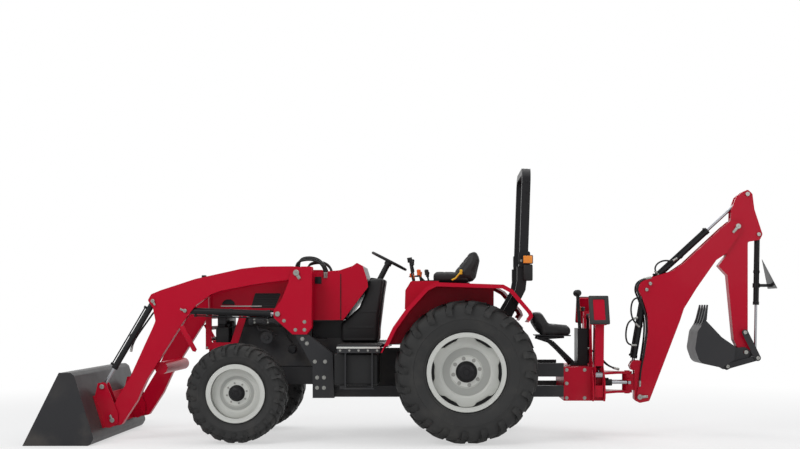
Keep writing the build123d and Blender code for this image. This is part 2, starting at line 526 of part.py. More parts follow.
lift_barrel, lift_rod = side_ram(LIFT_BARREL_PIN, LIFT_ROD_PIN, ARM_Y, LIFT_STROKE, RAM_LARGE)
save("lift_barrels", both_sides(lift_barrel))
save("lift_rods", both_sides(lift_rod))
tilt_barrel, tilt_rod = side_ram(TILT_BARREL_PIN, TILT_ROD_PIN, ARM_Y, TILT_STROKE, RAM_SMALL)
save("tilt_barrels", both_sides(tilt_barrel))
save("tilt_rods", both_sides(tilt_rod))

# Quick attach: two ears on each side, a frame across and a hook for the bucket
EAR_IN = (ARM_IN - 18, ARM_IN - 6)
EAR_OUT = (ARM_OUT + 6, ARM_OUT + 18)
ear = xz_face((-3236, 514, 12), (-3166, 514, 16), (-3060, 250, 20), (-3060, 160, 30), (-3130, 120, 20),
              (-3191, 124), (-3262, 352), (-3262, 400))
attach = side_slab(ear, *EAR_IN) + side_slab(ear, *EAR_OUT)
attach += cross_pin(BUCKET_PIVOT, EAR_IN[0] - PIN_HEAD, EAR_OUT[1] + PIN_HEAD, 20)
for y in (EAR_IN[0] - PIN_HEAD, EAR_OUT[0] + 2):
    attach += cross_pin(TILT_ROD_PIN, y, y + PIN_HEAD + 10, 20)
attach_plate = xz_face((-3276.4, 400), (-3261.6, 400), (-3175.4, 120), (-3190, 120))
quick_attach = both_sides(attach) + side_slab(attach_plate, -EAR_OUT[1] - 20, EAR_OUT[1] + 20)
save("quick_attach", quick_attach)

# Loader bucket: a bent shell between two side plates
bucket_outer = xz_face((LOADER_BUCKET_LIP_X, 0), (-3207, 0, 40), (-3172, 60, 40), (-3338, 598, 30), (-3370, 622, 20),
                       (-3468, 622))
BUCKET_HALF = LOADER_BUCKET_WIDTH / 2
loader_bucket = side_slab(bucket_outer, -BUCKET_HALF, BUCKET_HALF)
trough = side_slab(offset(bucket_outer, -LOADER_BUCKET_WALL), -BUCKET_HALF + LOADER_BUCKET_WALL,
                   BUCKET_HALF - LOADER_BUCKET_WALL)
mouth = side_slab(xz_face((-3462, 700), (-3900, 700), (-3900, LOADER_BUCKET_WALL), (-3700, LOADER_BUCKET_WALL),
                          (-3452, 600)), -BUCKET_HALF + LOADER_BUCKET_WALL, BUCKET_HALF - LOADER_BUCKET_WALL)
loader_bucket = loader_bucket - trough - mouth
save("loader_bucket", loader_bucket)

# Backhoe main frame: box, nose plates for the swing pin, towers and ears for the stabilisers
FRAME_X = (874, 1228)
FRAME_Z = (345, 645)
FRAME_PLATE = 14
NOSE_RADIUS = 46
SWING_PIN_RADIUS = 25
LOWER_NOSE_Z = (392, 414)
UPPER_NOSE_Z = (566, 588)
frame_box = block(*FRAME_X, -FRAME_HALF, FRAME_HALF, *FRAME_Z)
frame_box -= block(FRAME_X[0] + FRAME_PLATE, FRAME_X[1] - FRAME_PLATE, -FRAME_HALF + FRAME_PLATE,
                   FRAME_HALF - FRAME_PLATE, FRAME_Z[0] - 20, FRAME_Z[1] - FRAME_PLATE)
nose_face = make_hull((Pos(SWING_X, 0) * Circle(NOSE_RADIUS)).edges() + (Pos(1390, 0) * Rectangle(2, 130)).edges())
wing = make_face(Polyline((FRAME_X[1] - 2, -230), (1391, -66), (1391, 66), (FRAME_X[1] - 2, 230), close=True))
for z_low, z_high in (LOWER_NOSE_Z, UPPER_NOSE_Z):
    frame_box += extrude(Plane.XY.offset(z_low) * (nose_face + wing), amount=z_high - z_low)
frame_box += bar((SWING_X, 0, LOWER_NOSE_Z[0] - 8), (SWING_X, 0, UPPER_NOSE_Z[1] + 8), SWING_PIN_RADIUS)
swing_barrel_hole = bar((FRAME_X[1] - 60, SWING_LUG_REACH, SWING_ROD_Z), (FRAME_X[1] + 10, SWING_LUG_REACH, SWING_ROD_Z), 30 + SEAT_GAP)
frame_box -= both_sides(swing_barrel_hole)
STABILISER_FORK = 44
STABILISER_FORK_PLATE = 12
stabiliser_ear = make_face(Polyline((FRAME_HALF - 30, 345), (FRAME_HALF + 70, 345), (FRAME_HALF + 106, 380), (FRAME_HALF + 106, 450),
                                    (FRAME_HALF + 70, 560), (FRAME_HALF - 30, 645),
                                    close=True))
STABILISER_PIN_RADIUS = 20
tower_leg = make_face(Polyline((FRAME_HALF - 20, 600), (FRAME_HALF - 190, 600), (205, 1060), (205, 1135), (275, 1135),
                               (300, 1060), close=True))
for sign in (-1, 1):
    near = STABILISER_X + sign * (STABILISER_FORK + STABILISER_FORK_PLATE / 2)
    for outline in (stabiliser_ear, tower_leg):
        plate = front_slab(outline, near - STABILISER_FORK_PLATE / 2, near + STABILISER_FORK_PLATE / 2)
        frame_box += both_sides(plate)
frame_box += both_sides(bar((STABILISER_X - 62, STABILISER_PIVOT[0], STABILISER_PIVOT[1]),
                            (STABILISER_X + 62, STABILISER_PIVOT[0], STABILISER_PIVOT[1]), STABILISER_PIN_RADIUS))
frame_box += both_sides(bar((STABILISER_X - 62, STABILISER_BARREL_PIN[0], STABILISER_BARREL_PIN[1]),
                            (STABILISER_X + 62, STABILISER_BARREL_PIN[0], STABILISER_BARREL_PIN[1]), PIN_RADIUS))
save("backhoe_frame", frame_box)

# Swing cylinders: barrels fixed in the frame, rods that slide
SWING_BARREL_X = (1040, 1340)
swing_barrel = bar((SWING_BARREL_X[0], SWING_LUG_REACH, SWING_ROD_Z), (SWING_BARREL_X[1], SWING_LUG_REACH, SWING_ROD_Z), 30)
swing_barrel -= bar((SWING_BARREL_X[0] + 20, SWING_LUG_REACH, SWING_ROD_Z),
                    (SWING_BARREL_X[1] + 5, SWING_LUG_REACH, SWING_ROD_Z), 14 + PIN_PLAY)
swing_barrel += block(SWING_BARREL_X[0], SWING_BARREL_X[0] + 14, SWING_LUG_REACH - 30, SWING_LUG_REACH + 30, 400,
                      SWING_ROD_Z)
save("swing_barrels", both_sides(swing_barrel))
swing_rod = bar((1180, SWING_LUG_REACH, SWING_ROD_Z), (SWING_X - 15, SWING_LUG_REACH, SWING_ROD_Z), 14)
swing_rod += boss((SWING_X, SWING_LUG_REACH, SWING_ROD_Z), (0, 0, 1), 22, 26)
save("swing_rod_right", swing_rod)
save("swing_rod_left", mirrored(swing_rod))

# Swing post: hub on the swing pin, lugs for the swing rods, fork for the boom cylinder, boss for the boom
POST_HALF = 57
HUB_Z = (LOWER_NOSE_Z[1] + 2, UPPER_NOSE_Z[0] - 2)
post = bar((SWING_X, 0, HUB_Z[0]), (SWING_X, 0, HUB_Z[1]), NOSE_RADIUS)
post += block(SWING_X, 1640, -POST_HALF + 12, POST_HALF - 12, *HUB_Z)
post_face = xz_face((1556, 330, 20), (1600, 305, 40), (1650, 345, 40), (1650, 560, 20), (1622, 690, 25),
                    (1540, 690, 30), (1512, 640, 20), (1530, 602, 10), (1556, 602))
post += side_slab(post_face, -POST_HALF, POST_HALF)
post -= block(1400, 1700, -EYE_SLOT, EYE_SLOT, 565, 800)
post -= block(1548, 1700, -EYE_SLOT, EYE_SLOT, 545, 570)
for z in (SWING_ROD_Z + 15, SWING_ROD_Z - 27):
    post += block(SWING_X - 20, SWING_X + 20, -SWING_LUG_REACH, SWING_LUG_REACH, z, z + 12)
    post += both_sides(bar((SWING_X, SWING_LUG_REACH, z), (SWING_X, SWING_LUG_REACH, z + 12), 22))
post -= bar((SWING_X, 0, 300), (SWING_X, 0, 700), SWING_PIN_RADIUS + PIN_PLAY)
post += cross_pin(BOOM_FOOT, -BOOM_HALF_WIDTH - PIN_HEAD, BOOM_HALF_WIDTH + PIN_HEAD, 22)
for y in (-POST_HALF - 4, EYE_SLOT + 4):
    post += cross_pin(BOOM_ROD_PIN, y, y + POST_HALF - EYE_SLOT, 16)
save("swing_post", post)

# Backhoe boom: two side plates with a box between them
BOOM_GAP = 5
BOOM_IN = POST_HALF + BOOM_GAP
boom_face = xz_face(
    (1567, 320, 25), (1600, 300, 30), (1690, 318, 20), (1971, 1053), (2009, 1168), (2125, 1355), (2306, 1612),
    (2402, 1676), (2545, 1890, 45), (2520, 1978, 45), (2434, 1973, 30), (2356, 1909), (2189, 1754), (2009, 1586),
    (1894, 1509), (1687, 1447, 25), (1612, 1412, 25), (1585, 1342, 25), (1622, 1277), (1675, 1110), (1681, 956),
    (1649, 737), (1610, 570))
boom = both_sides(side_slab(boom_face, BOOM_IN, BOOM_HALF_WIDTH))
core_face = xz_face((1745, 560), (1955, 1050), (1990, 1165), (2105, 1350), (2290, 1612), (2352, 1660), (2290, 1820),
                    (2180, 1735), (2005, 1560), (1890, 1465), (1805, 1410), (1760, 1340), (1690, 1180), (1697, 956),
                    (1667, 740), (1680, 640))
boom += side_slab(core_face, -BOOM_IN - 2, BOOM_IN + 2)
boom += cross_pin(BOOM_BARREL_PIN, -BOOM_HALF_WIDTH - PIN_HEAD, BOOM_HALF_WIDTH + PIN_HEAD)
boom += cross_pin(DIPPER_BARREL_PIN, -BOOM_HALF_WIDTH - PIN_HEAD, BOOM_HALF_WIDTH + PIN_HEAD)
boom += cross_pin(DIPPER_PIVOT, -BOOM_HALF_WIDTH - PIN_HEAD, BOOM_HALF_WIDTH + PIN_HEAD, 22)
boom -= cross_pin(BOOM_FOOT, -200, 200, 22 + PIN_PLAY)
save("backhoe_boom", boom)
boom_barrel, boom_rod = side_ram(BOOM_BARREL_PIN, BOOM_ROD_PIN, 0, BOOM_STROKE, RAM_LARGE)
save("boom_barrel", boom_barrel)
save("boom_rod", boom_rod)

# Dipper
dipper_face = xz_face(
    (2490, 2190), (2548, 2236, 20), (2600, 2262, 20), (2642, 2222, 20), (2660, 2080), (2735, 1850, 20), (2712, 1800, 20),
    (2599, 1780, 20), (2599, 956), (2622, 800, 30), (2600, 722, 30), (2548, 722, 30), (2470, 879), (2413, 1471),
    (2330, 1560, 12), (2360, 1600, 12), (2400, 1650), (2440, 1900), (2446, 2068), (2477, 2153))
dipper = side_slab(dipper_face, -DIPPER_HALF_WIDTH, DIPPER_HALF_WIDTH)
dipper -= boss((BUCKET_BARREL_PIN[0], 0, BUCKET_BARREL_PIN[1]), (0, 1, 0), 90, EYE_SLOT * 2)
rod_slot = xz_face((2380, 1985), (2486, 2012), (2612, 2128), (2680, 2150), (2680, 2300), (2380, 2300))
dipper -= side_slab(rod_slot, -EYE_SLOT, EYE_SLOT)
dipper += cross_pin(BUCKET_BARREL_PIN, -DIPPER_HALF_WIDTH - PIN_HEAD, DIPPER_HALF_WIDTH + PIN_HEAD)
dipper += cross_pin(GUIDE_PIN, -108, 108, 16)
dipper += cross_pin(BACKHOE_BUCKET_PIVOT, -84, 84, 18)
for y in (EYE_SLOT + 2, -DIPPER_HALF_WIDTH - PIN_HEAD):
    dipper += cross_pin(DIPPER_ROD_PIN, y, y + DIPPER_HALF_WIDTH - EYE_SLOT + PIN_HEAD - 2, 18)
dipper -= cross_pin(DIPPER_PIVOT, -200, 200, 22 + PIN_PLAY)
save("dipper", dipper)
dipper_barrel, dipper_rod = side_ram(DIPPER_BARREL_PIN, DIPPER_ROD_PIN, 0, DIPPER_STROKE, RAM_LARGE)
save("dipper_barrel", dipper_barrel)
save("dipper_rod", dipper_rod)


def bucket_line(z):
    """The point of the bucket cylinder's axis at a height."""
    share = (z - LINK_PIN[1]) / (BUCKET_BARREL_PIN[1] - LINK_PIN[1])
    return LINK_PIN[0] + share * (BUCKET_BARREL_PIN[0] - LINK_PIN[0]), 0, z


bucket_barrel, bucket_rod = side_ram(BUCKET_BARREL_PIN, LINK_PIN, 0, BUCKET_STROKE, RAM_SMALL)
save("bucket_barrel", bucket_barrel)
save("bucket_rod", bucket_rod)

# Bucket linkage and bucket
BUCKET_EAR = (60, 74)
BUCKET_LINK_Y = (79, 91)
GUIDE_LINK_Y = (96, 106)


def link(start, end, radius, y_from, y_to):
    outline = make_hull((Pos(*start) * Circle(radius)).edges() + (Pos(*end) * Circle(radius)).edges())
    return side_slab(outline, y_from, y_to)


guide = link(GUIDE_PIN, LINK_PIN, 28, *GUIDE_LINK_Y) - cross_pin(GUIDE_PIN, 0, 200, 16 + PIN_PLAY)
guide += cross_pin(LINK_PIN, EYE_SLOT, GUIDE_LINK_Y[1] + 4, 15)
save("guide_links", both_sides(guide))
bucket_link = link(LINK_PIN, BUCKET_LINK_PIN, 24, *BUCKET_LINK_Y) - cross_pin(LINK_PIN, 0, 200, 15 + PIN_PLAY)
save("bucket_link", both_sides(bucket_link))
shell_face = xz_face((2178, 1066), (2110, 960, 60), (2085, 800, 100), (2130, 672, 80), (2330, 628, 40), (2440, 700),
                     (2453, 821), (2330, 905, 60))
SHELL_HALF = BACKHOE_BUCKET_WIDTH / 2
SHELL_WALL = 10
shell = side_slab(shell_face, -SHELL_HALF, SHELL_HALF)
shell_cavity = xz_face((2188, 1100), (2122, 960, 55), (2096, 802, 92), (2138, 683, 72), (2330, 640, 34), (2432, 706),
                       (2440, 821), (2520, 860), (2400, 1100))
cavity_slab = side_slab(shell_cavity, -SHELL_HALF + SHELL_WALL, SHELL_HALF - SHELL_WALL)
shell -= cavity_slab
for y in (-165, -55, 55, 165):
    tooth = xz_face((2136, 994), (2150, 985), (2196, 1066), (2208, 1200), (2198, 1202), (2166, 1075))
    shell += side_slab(tooth, y - 16, y + 16)
bucket_ear_face = xz_face((2330, 640), (2400, 600, 20), (2440, 620, 20), (2600, 716, 40), (2625, 780, 40), (2560, 815, 40),
                          (2440, 800), (2436, 700))
bucket_ear = side_slab(bucket_ear_face, *BUCKET_EAR)
bucket_ear += cross_pin(BUCKET_LINK_PIN, BUCKET_EAR[0], BUCKET_LINK_Y[0] - 2, 16)
bucket_ear -= cross_pin(BACKHOE_BUCKET_PIVOT, 0, 200, 18 + PIN_PLAY)
save("backhoe_bucket", shell + both_sides(bucket_ear))

# Stabiliser legs: arm, pad and cylinder, drawn in Y and Z and then set at their X
def stabiliser_point(distance, offset_out=0):
    angle = math.radians(STABILISER_REST_ANGLE)
    y = STABILISER_PIVOT[0] + distance * math.cos(angle) + offset_out * math.sin(angle)
    z = STABILISER_PIVOT[1] + distance * math.sin(angle) - offset_out * math.cos(angle)
    return y, z


ARM_HALF_X = 38
arm_points = [stabiliser_point(*place) for place in ((-36, -26), (-36, 26), (200, 36), (725, 26), (725, -26), (200, -36))]
leg_outline = make_face(Polyline(*arm_points, close=True))
stabiliser = front_slab(leg_outline, STABILISER_X - ARM_HALF_X, STABILISER_X + ARM_HALF_X)
rod_place = stabiliser_point(STABILISER_LEVER)
slot_points = [stabiliser_point(*place) for place in ((68, -80), (68, 60), (235, 60), (250, 20), (345, -80))]
slot = make_face(Polyline(*slot_points, close=True))
stabiliser -= front_slab(slot, STABILISER_X - EYE_SLOT, STABILISER_X + EYE_SLOT)
stabiliser -= bar((STABILISER_X - 90, *STABILISER_PIVOT), (STABILISER_X + 90, *STABILISER_PIVOT), STABILISER_PIN_RADIUS + PIN_PLAY)
PAD_TILT = 26
pad_middle = stabiliser_point(735, 18)
pad_plane = Plane(origin=(STABILISER_X - 8, *pad_middle), x_dir=(1, 0, 0),
                  z_dir=(0, math.cos(math.radians(PAD_TILT)), math.sin(math.radians(PAD_TILT))))
pad = pad_plane * (fillet(Box(170, 270, 34).edges().filter_by(Axis.Z), 40))
stabiliser += pad
save("stabiliser_right", stabiliser)
save("stabiliser_left", mirrored(stabiliser))
leg_barrel, leg_rod = ram((STABILISER_X, *STABILISER_BARREL_PIN), (STABILISER_X, *rod_place), (1, 0, 0),
                          STABILISER_STROKE, RAM_SMALL)
save("stabiliser_barrel_right", leg_barrel)
save("stabiliser_barrel_left", mirrored(leg_barrel))
save("stabiliser_rod_right", leg_rod)
save("stabiliser_rod_left", mirrored(leg_rod))

# Lever stand and the rear-facing seat
stand = block(1025, 1115, -150, 150, FRAME_Z[1], 985)
for y in (-70, 70):
    stand += bar((1060, y, 980), (1040, y, 1290), 8)
    stand += boss((1037, y, 1305), (0, 0, 1), 22, 40)
seat_frame = both_sides(block(960, 1020, 125, 175, FRAME_Z[1], FRAME_Z[1] + 30)
                        + bar((985, 150, FRAME_Z[1] + 25), (790, 150, 860), 18) + bar((790, 150, 860), (660, 150, 905), 18)
                        + bar((660, 150, 900), (900, 150, 915), 18))
rear_seat = fillet(block(640, 980, -225, 225, 933.3, 1000).edges(), 20)
rear_seat += side_slab(xz_face((622, 1144, 20), (690, 1140, 20), (740, 985), (640, 985)), -215, 215)
save("rear_seat", rear_seat)
save("lever_stand", stand, seat_frame)

# Blank triangle on a bracket round the bucket cylinder
TRIANGLE_RADIUS = 190
clamp_low = Vector(*bucket_line(1360))
clamp_high = Vector(*bucket_line(1400))
clamp = bar(clamp_low, clamp_high, 34) - bar(clamp_low, clamp_high, RAM_SMALL[0] + SEAT_GAP)
clamp += block(2722, 2830, -15, 15, 1366, 1394)
triangle_plane = Plane(origin=(2806, 0, 1440), x_dir=(0, 1, 0), z_dir=(0.94, 0, 0.34))
clamp += triangle_plane * extrude(RegularPolygon(TRIANGLE_RADIUS, 3, rotation=90), amount=4)
save("rear_triangle", clamp)

os.makedirs("parts", exist_ok=True)
for name, shape in NODES.items():
    export_step(shape, f"parts/{name}.step")
corners = [NODES[name].bounding_box() for name in NODES]
print("nodes", len(NODES))
print("x", min(box.min.X for box in corners), max(box.max.X for box in corners))
print("y", min(box.min.Y for box in corners), max(box.max.Y for box in corners))
print("z", min(box.min.Z for box in corners), max(box.max.Z for box in corners))
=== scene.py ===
# %% [markdown]
# # A tractor with a loader in front and a backhoe behind
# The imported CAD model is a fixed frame: every steel piece is already at its real size and place.
# This lesson dresses that frame. It sets the camera and the light first, then the finishes,
# and then models what the solids leave out, such as lugs on the tyres, cushions, bolts and hoses.

# %% Load the frame
import json
import math

import bmesh
import bpy
from mathutils import Matrix, Vector


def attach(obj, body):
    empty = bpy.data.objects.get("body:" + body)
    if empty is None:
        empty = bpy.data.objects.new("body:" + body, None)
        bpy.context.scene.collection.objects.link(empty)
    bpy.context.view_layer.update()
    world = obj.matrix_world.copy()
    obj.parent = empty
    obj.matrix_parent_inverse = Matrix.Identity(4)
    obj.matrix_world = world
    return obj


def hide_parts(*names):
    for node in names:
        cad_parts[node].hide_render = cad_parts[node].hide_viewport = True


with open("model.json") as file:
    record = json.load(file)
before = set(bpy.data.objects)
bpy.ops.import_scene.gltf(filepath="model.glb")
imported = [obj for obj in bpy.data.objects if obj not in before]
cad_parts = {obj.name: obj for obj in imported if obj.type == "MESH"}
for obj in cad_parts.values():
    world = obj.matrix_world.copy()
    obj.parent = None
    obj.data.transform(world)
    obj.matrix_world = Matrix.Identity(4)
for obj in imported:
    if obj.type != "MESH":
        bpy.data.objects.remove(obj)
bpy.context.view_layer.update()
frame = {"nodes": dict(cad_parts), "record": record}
nodes = frame["nodes"]
REAR_AXLE_X = 0.46746

# %% [markdown]
# ## Camera
# The photograph looks square at the left side of the machine, from the height of a person's waist.
# Its lens axis isn't in the middle of the frame, so the camera looks straight ahead along Y
# and is shifted, which keeps upright edges upright.

# %% Place the camera
LENS_PIXELS = 1235
FRAME_PIXELS = (800, 449)
AXIS_PIXEL = (445, 307)
camera_data = bpy.data.cameras.new("side_camera")
camera_data.sensor_width = 36
camera_data.lens = LENS_PIXELS / FRAME_PIXELS[0] * camera_data.sensor_width
camera_data.shift_x = (FRAME_PIXELS[0] / 2 - AXIS_PIXEL[0]) / FRAME_PIXELS[0]
camera_data.shift_y = (AXIS_PIXEL[1] - FRAME_PIXELS[1] / 2) / FRAME_PIXELS[0]
camera = bpy.data.objects.new("side_camera", camera_data)
camera.location = (REAR_AXLE_X - 0.185, -11.41, 1.181)
camera.rotation_euler = (math.radians(90), 0, 0)
bpy.context.scene.collection.objects.link(camera)
bpy.context.scene.camera = camera
print("lens", round(camera_data.lens, 2), "shift", round(camera_data.shift_x, 3), round(camera_data.shift_y, 3))

# %% [markdown]
# ## Studio
# The photograph has a white floor that runs into a white wall, with one soft shadow under the machine.
# The white comes from the colour that the camera sees, and not from stronger lamps,
# so that the paint keeps its own colour.

# %% Set the world and the lamps
scene = bpy.context.scene
scene.view_settings.view_transform = "Standard"
world = bpy.data.worlds.new("studio")
scene.world = world
world.use_nodes = True
sky = world.node_tree.nodes
sky_links = world.node_tree.links
background = sky["Background"]
background.inputs["Color"].default_value = (0.86, 0.88, 0.9, 1)
background.inputs["Strength"].default_value = 0.36
white = sky.new("ShaderNodeBackground")
white.inputs["Color"].default_value = (1, 1, 1, 1)
white.inputs["Strength"].default_value = 1
seen = sky.new("ShaderNodeLightPath")
either = sky.new("ShaderNodeMath")
either.operation = "MAXIMUM"
sky_links.new(seen.outputs["Is Camera Ray"], either.inputs[0])
sky_links.new(seen.outputs["Is Transmission Ray"], either.inputs[1])
choose = sky.new("ShaderNodeMixShader")
glossy = sky.new("ShaderNodeMath")
glossy.operation = "MAXIMUM"
sky_links.new(either.outputs[0], glossy.inputs[0])
sky_links.new(seen.outputs["Is Glossy Ray"], glossy.inputs[1])
sky_links.new(glossy.outputs[0], choose.inputs[0])
sky_links.new(background.outputs[0], choose.inputs[1])
sky_links.new(white.outputs[0], choose.inputs[2])
sky_links.new(choose.outputs[0], sky["World Output"].inputs["Surface"])


def area_lamp(name, place, target, size, power):
    """A soft lamp that looks at a target."""
    data = bpy.data.lights.new(name, "AREA")
    data.shape = "RECTANGLE"
    data.size, data.size_y = size
    data.energy = power
    lamp = bpy.data.objects.new(name, data)
    lamp.location = place
    lamp.rotation_euler = (Vector(target) - Vector(place)).to_track_quat("-Z", "Y").to_euler()
    scene.collection.objects.link(lamp)
    return lamp


area_lamp("key_lamp", (-5.5, -7, 6.5), (0, 0, 0.8), (5, 4), 330)
area_lamp("fill_lamp", (6, -8, 3.5), (0, 0, 1), (5, 4), 120)
area_lamp("top_lamp", (0.5, 0.5, 7.5), (0, 0, 0.5), (8, 5), 230)
area_lamp("back_lamp", (3, 7.5, 5), (0, 0, 1), (6, 3), 150)

# %% [markdown]
# ## Finishes
# A finish is a small network of nodes. Written node by node it is long and hard to read, so one class
# holds a socket and answers to plain arithmetic, and one method adds any other node.
# Patterns read Object coordinates, because each piece keeps its place in its mesh, in metres.

# %% Write shader maths as expressions
class Wire:
    """An output socket that can be added, multiplied and mixed like a number."""

    def __init__(self, finish, socket):
        self.finish = finish
        self.socket = socket

    def sum(self, operation, first, second):
        return self.finish.add("ShaderNodeMath", {0: first, 1: second}, operation=operation)

    def __add__(self, other):
        return self.sum("ADD", self, other)

    __radd__ = __add__

    def __sub__(self, other):
        return self.sum("SUBTRACT", self, other)

    def __rsub__(self, other):
        return self.sum("SUBTRACT", other, self)

    def __mul__(self, other):
        return self.sum("MULTIPLY", self, other)

    __rmul__ = __mul__

    def above(self, low, high):
        """0 below low, 1 above high, and smooth between."""
        return self.finish.add("ShaderNodeMapRange", {0: self, 1: low, 2: high}, interpolation_type="SMOOTHSTEP")


class Finish:
    """One material, with a method that adds any node to it."""

    def __init__(self, name, colour, roughness, metallic=0.0, coat=0.0, coat_roughness=0.1, shine=0.25):
        self.material = bpy.data.materials.new(name)
        self.material.use_nodes = True
        self.tree = self.material.node_tree
        self.shader = self.tree.nodes["Principled BSDF"]
        self.colour = (*colour, 1)
        self.shader.inputs["Base Color"].default_value = self.colour
        self.shader.inputs["Roughness"].default_value = roughness
        self.shader.inputs["Metallic"].default_value = metallic
        self.shader.inputs["Coat Weight"].default_value = coat
        self.shader.inputs["Coat Roughness"].default_value = coat_roughness
        self.shader.inputs["Specular IOR Level"].default_value = shine
        self.place = self.add("ShaderNodeTexCoord", out="Object")

    def feed(self, socket, value):
        if isinstance(value, Wire):
            self.tree.links.new(value.socket, socket)
        else:
            socket.default_value = value

    def add(self, kind, sockets=None, out=0, stops=None, **settings):
        node = self.tree.nodes.new(kind)
        for key, value in settings.items():
            setattr(node, key, value)
        if stops:
            ramp = node.color_ramp.elements
            while len(ramp) < len(stops):
                ramp.new(0.5)
            for element, (position, shade) in zip(ramp, stops):
                element.position = position
                element.color = shade
        for key, value in (sockets or {}).items():
            self.feed(node.inputs[key], value)
        return Wire(self, node.outputs[out])

    def noise(self, scale, detail=3.0, rough=0.5):
        return self.add("ShaderNodeTexNoise", {"Vector": self.place, "Scale": scale, "Detail": detail, "Roughness": rough})

    def axis(self, name):
        return self.add("ShaderNodeSeparateXYZ", {0: self.place}, out=name)

    def facing_up(self):
        normal = self.add("ShaderNodeNewGeometry", out="Normal")
        return self.add("ShaderNodeSeparateXYZ", {0: normal}, out="Z")

    def mix(self, share, first, second):
        return self.add("ShaderNodeMix", {0: share, 6: first, 7: second}, out=2, data_type="RGBA")

    def set(self, name, value):
        self.feed(self.shader.inputs[name], value)

    def bump(self, height, depth, strength=1.0):
        self.set("Normal", self.add("ShaderNodeBump", {"Height": height, "Distance": depth, "Strength": strength}))


def srgb(red, green, blue):
    """A colour as a screen shows it, from 0 to 255, turned into the linear numbers that shaders use."""
    return tuple((value / 255 / 12.92) if value < 11 else ((value / 255 + 0.055) / 1.055) ** 2.4
                 for value in (red, green, blue))


# %% [markdown]
# ## Paint
# The red is a thick gloss enamel: nearly even, with a faint orange-peel skin, a little dust on what
# faces up, and a thin film of dirt low down near the ground. Black and grey enamels differ only in
# colour and shine, so one function makes all of them.

# %% Make the paints
DUST = srgb(150, 140, 128)


def enamel(name, colour, roughness, coat, peel=0.00015, dust=0.10, second=None, share=None):
    """Paint in one colour, or in two where share, a function of the finish, gives the part of the second."""
    paint = Finish(name, colour, roughness, coat=coat, coat_roughness=0.06, shine=0.12)
    patches = paint.noise(3.0, 5.0)
    up = paint.facing_up().above(0.6, 0.95)
    low = 1 - paint.axis("Z").above(0.1, 0.7)
    film = patches.above(0.42, 0.72) * (up * dust + low * dust * 1.4 + dust * 0.15)
    ground = paint.mix(share(paint), paint.colour, (*second, 1)) if second else paint.colour
    paint.set("Base Color", paint.mix(film, ground, (*DUST, 1)))
    paint.set("Roughness", paint.noise(9.0, 4.0) * 0.12 + film * 0.5 + (roughness - 0.06))
    paint.bump(paint.noise(420.0, 2.0), peel)
    return paint.material


RED_COLOUR = srgb(184, 4, 40)
BLACK_COLOUR = srgb(32, 32, 34)
RED = enamel("red_enamel", RED_COLOUR, 0.36, 0.05, dust=0.05)
BLACK = enamel("black_enamel", BLACK_COLOUR, 0.38, 0.05, dust=0.05)
GREY = enamel("grey_enamel", srgb(52, 52, 54), 0.42, 0.05, dust=0.08)
SILVER = enamel("silver_enamel", srgb(206, 207, 202), 0.30, 0.3, dust=0.06)
# A darker copy of the wheel's silver, used as painted shade on the sunken floor of the disc.
SHADED_SILVER = enamel("shaded_silver_enamel", srgb(165, 166, 162), 0.34, 0.2, dust=0.06)
ORANGE = enamel("orange_marker", srgb(235, 98, 30), 0.30, 0.2)


def in_frame(x):
    """An x in millimetres from the rear axle, in metres in the frame."""
    return REAR_AXLE_X + x / 1000


def cowl_black(paint):
    """The cowl is black below its red side panel and on the faces that look back."""
    low = 1 - paint.axis("Z").above(1.062, 1.066)
    across = paint.add("ShaderNodeNewGeometry", out="Normal")
    back = paint.add("ShaderNodeSeparateXYZ", {0: across}, out="X").above(0.5, 0.6)
    return low + back - low * back


def lever_black(paint):
    """The levers are black above the red fender consoles."""
    return paint.axis("Z").above(1.412, 1.415)


def tread_side(paint):
    """The triangle's reflector is only on the side that faces the road behind."""
    across = paint.add("ShaderNodeNewGeometry", out="Normal")
    back = paint.add("ShaderNodeSeparateXYZ", {0: across}, out="X").above(0.3, 0.5)
    return 1 - back * paint.axis("X").above(in_frame(2770), in_frame(2772))


COWL_PAINT = enamel("cowl_enamel", RED_COLOUR, 0.36, 0.05, dust=0.05, second=BLACK_COLOUR, share=cowl_black)
CONSOLE_PAINT = enamel("console_enamel", RED_COLOUR, 0.36, 0.05, dust=0.05, second=BLACK_COLOUR, share=lever_black)
TRIANGLE_PAINT = enamel("triangle_enamel", srgb(235, 98, 30), 0.32, 0.1, second=BLACK_COLOUR, share=tread_side)
print("paints ready")

# %% [markdown]
# ## Bare and rough surfaces
# Chrome rods are almost mirrors with fine scratches along them. Cast iron is pitted and dull.
# Rubber is dark, with a grey bloom that differs from place to place. Moulded plastic has a fine grain.

# %% Make the other finishes
chrome = Finish("chrome_rod", srgb(150, 151, 155), 0.2, metallic=1.0)
chrome.set("Roughness", chrome.noise(60.0, 2.0) * 0.1 + 0.18)
CHROME = chrome.material

cast = Finish("cast_iron", srgb(58, 58, 60), 0.6, metallic=0.2)
pits = cast.noise(140.0, 4.0)
cast.set("Base Color", cast.mix(cast.noise(5.0, 4.0).above(0.4, 0.75) * 0.5, cast.colour, (*srgb(82, 78, 72), 1)))
cast.set("Roughness", pits * 0.2 + 0.5)
cast.bump(pits, 0.0006)
CAST = cast.material

rubber = Finish("tyre_rubber", srgb(48, 48, 48), 0.72)
bloom = rubber.noise(6.0, 5.0).above(0.45, 0.8)
rubber.set("Base Color", rubber.mix(bloom * 0.35, rubber.colour, (*srgb(84, 82, 79), 1)))
rubber.set("Roughness", bloom * 0.1 + 0.66)
rubber.bump(rubber.noise(260.0, 3.0), 0.0004)
RUBBER = rubber.material

plastic = Finish("moulded_plastic", srgb(28, 28, 29), 0.5)
plastic.set("Roughness", plastic.noise(12.0, 3.0) * 0.1 + 0.45)
plastic.bump(plastic.noise(900.0, 1.0), 0.0002)
PLASTIC = plastic.material

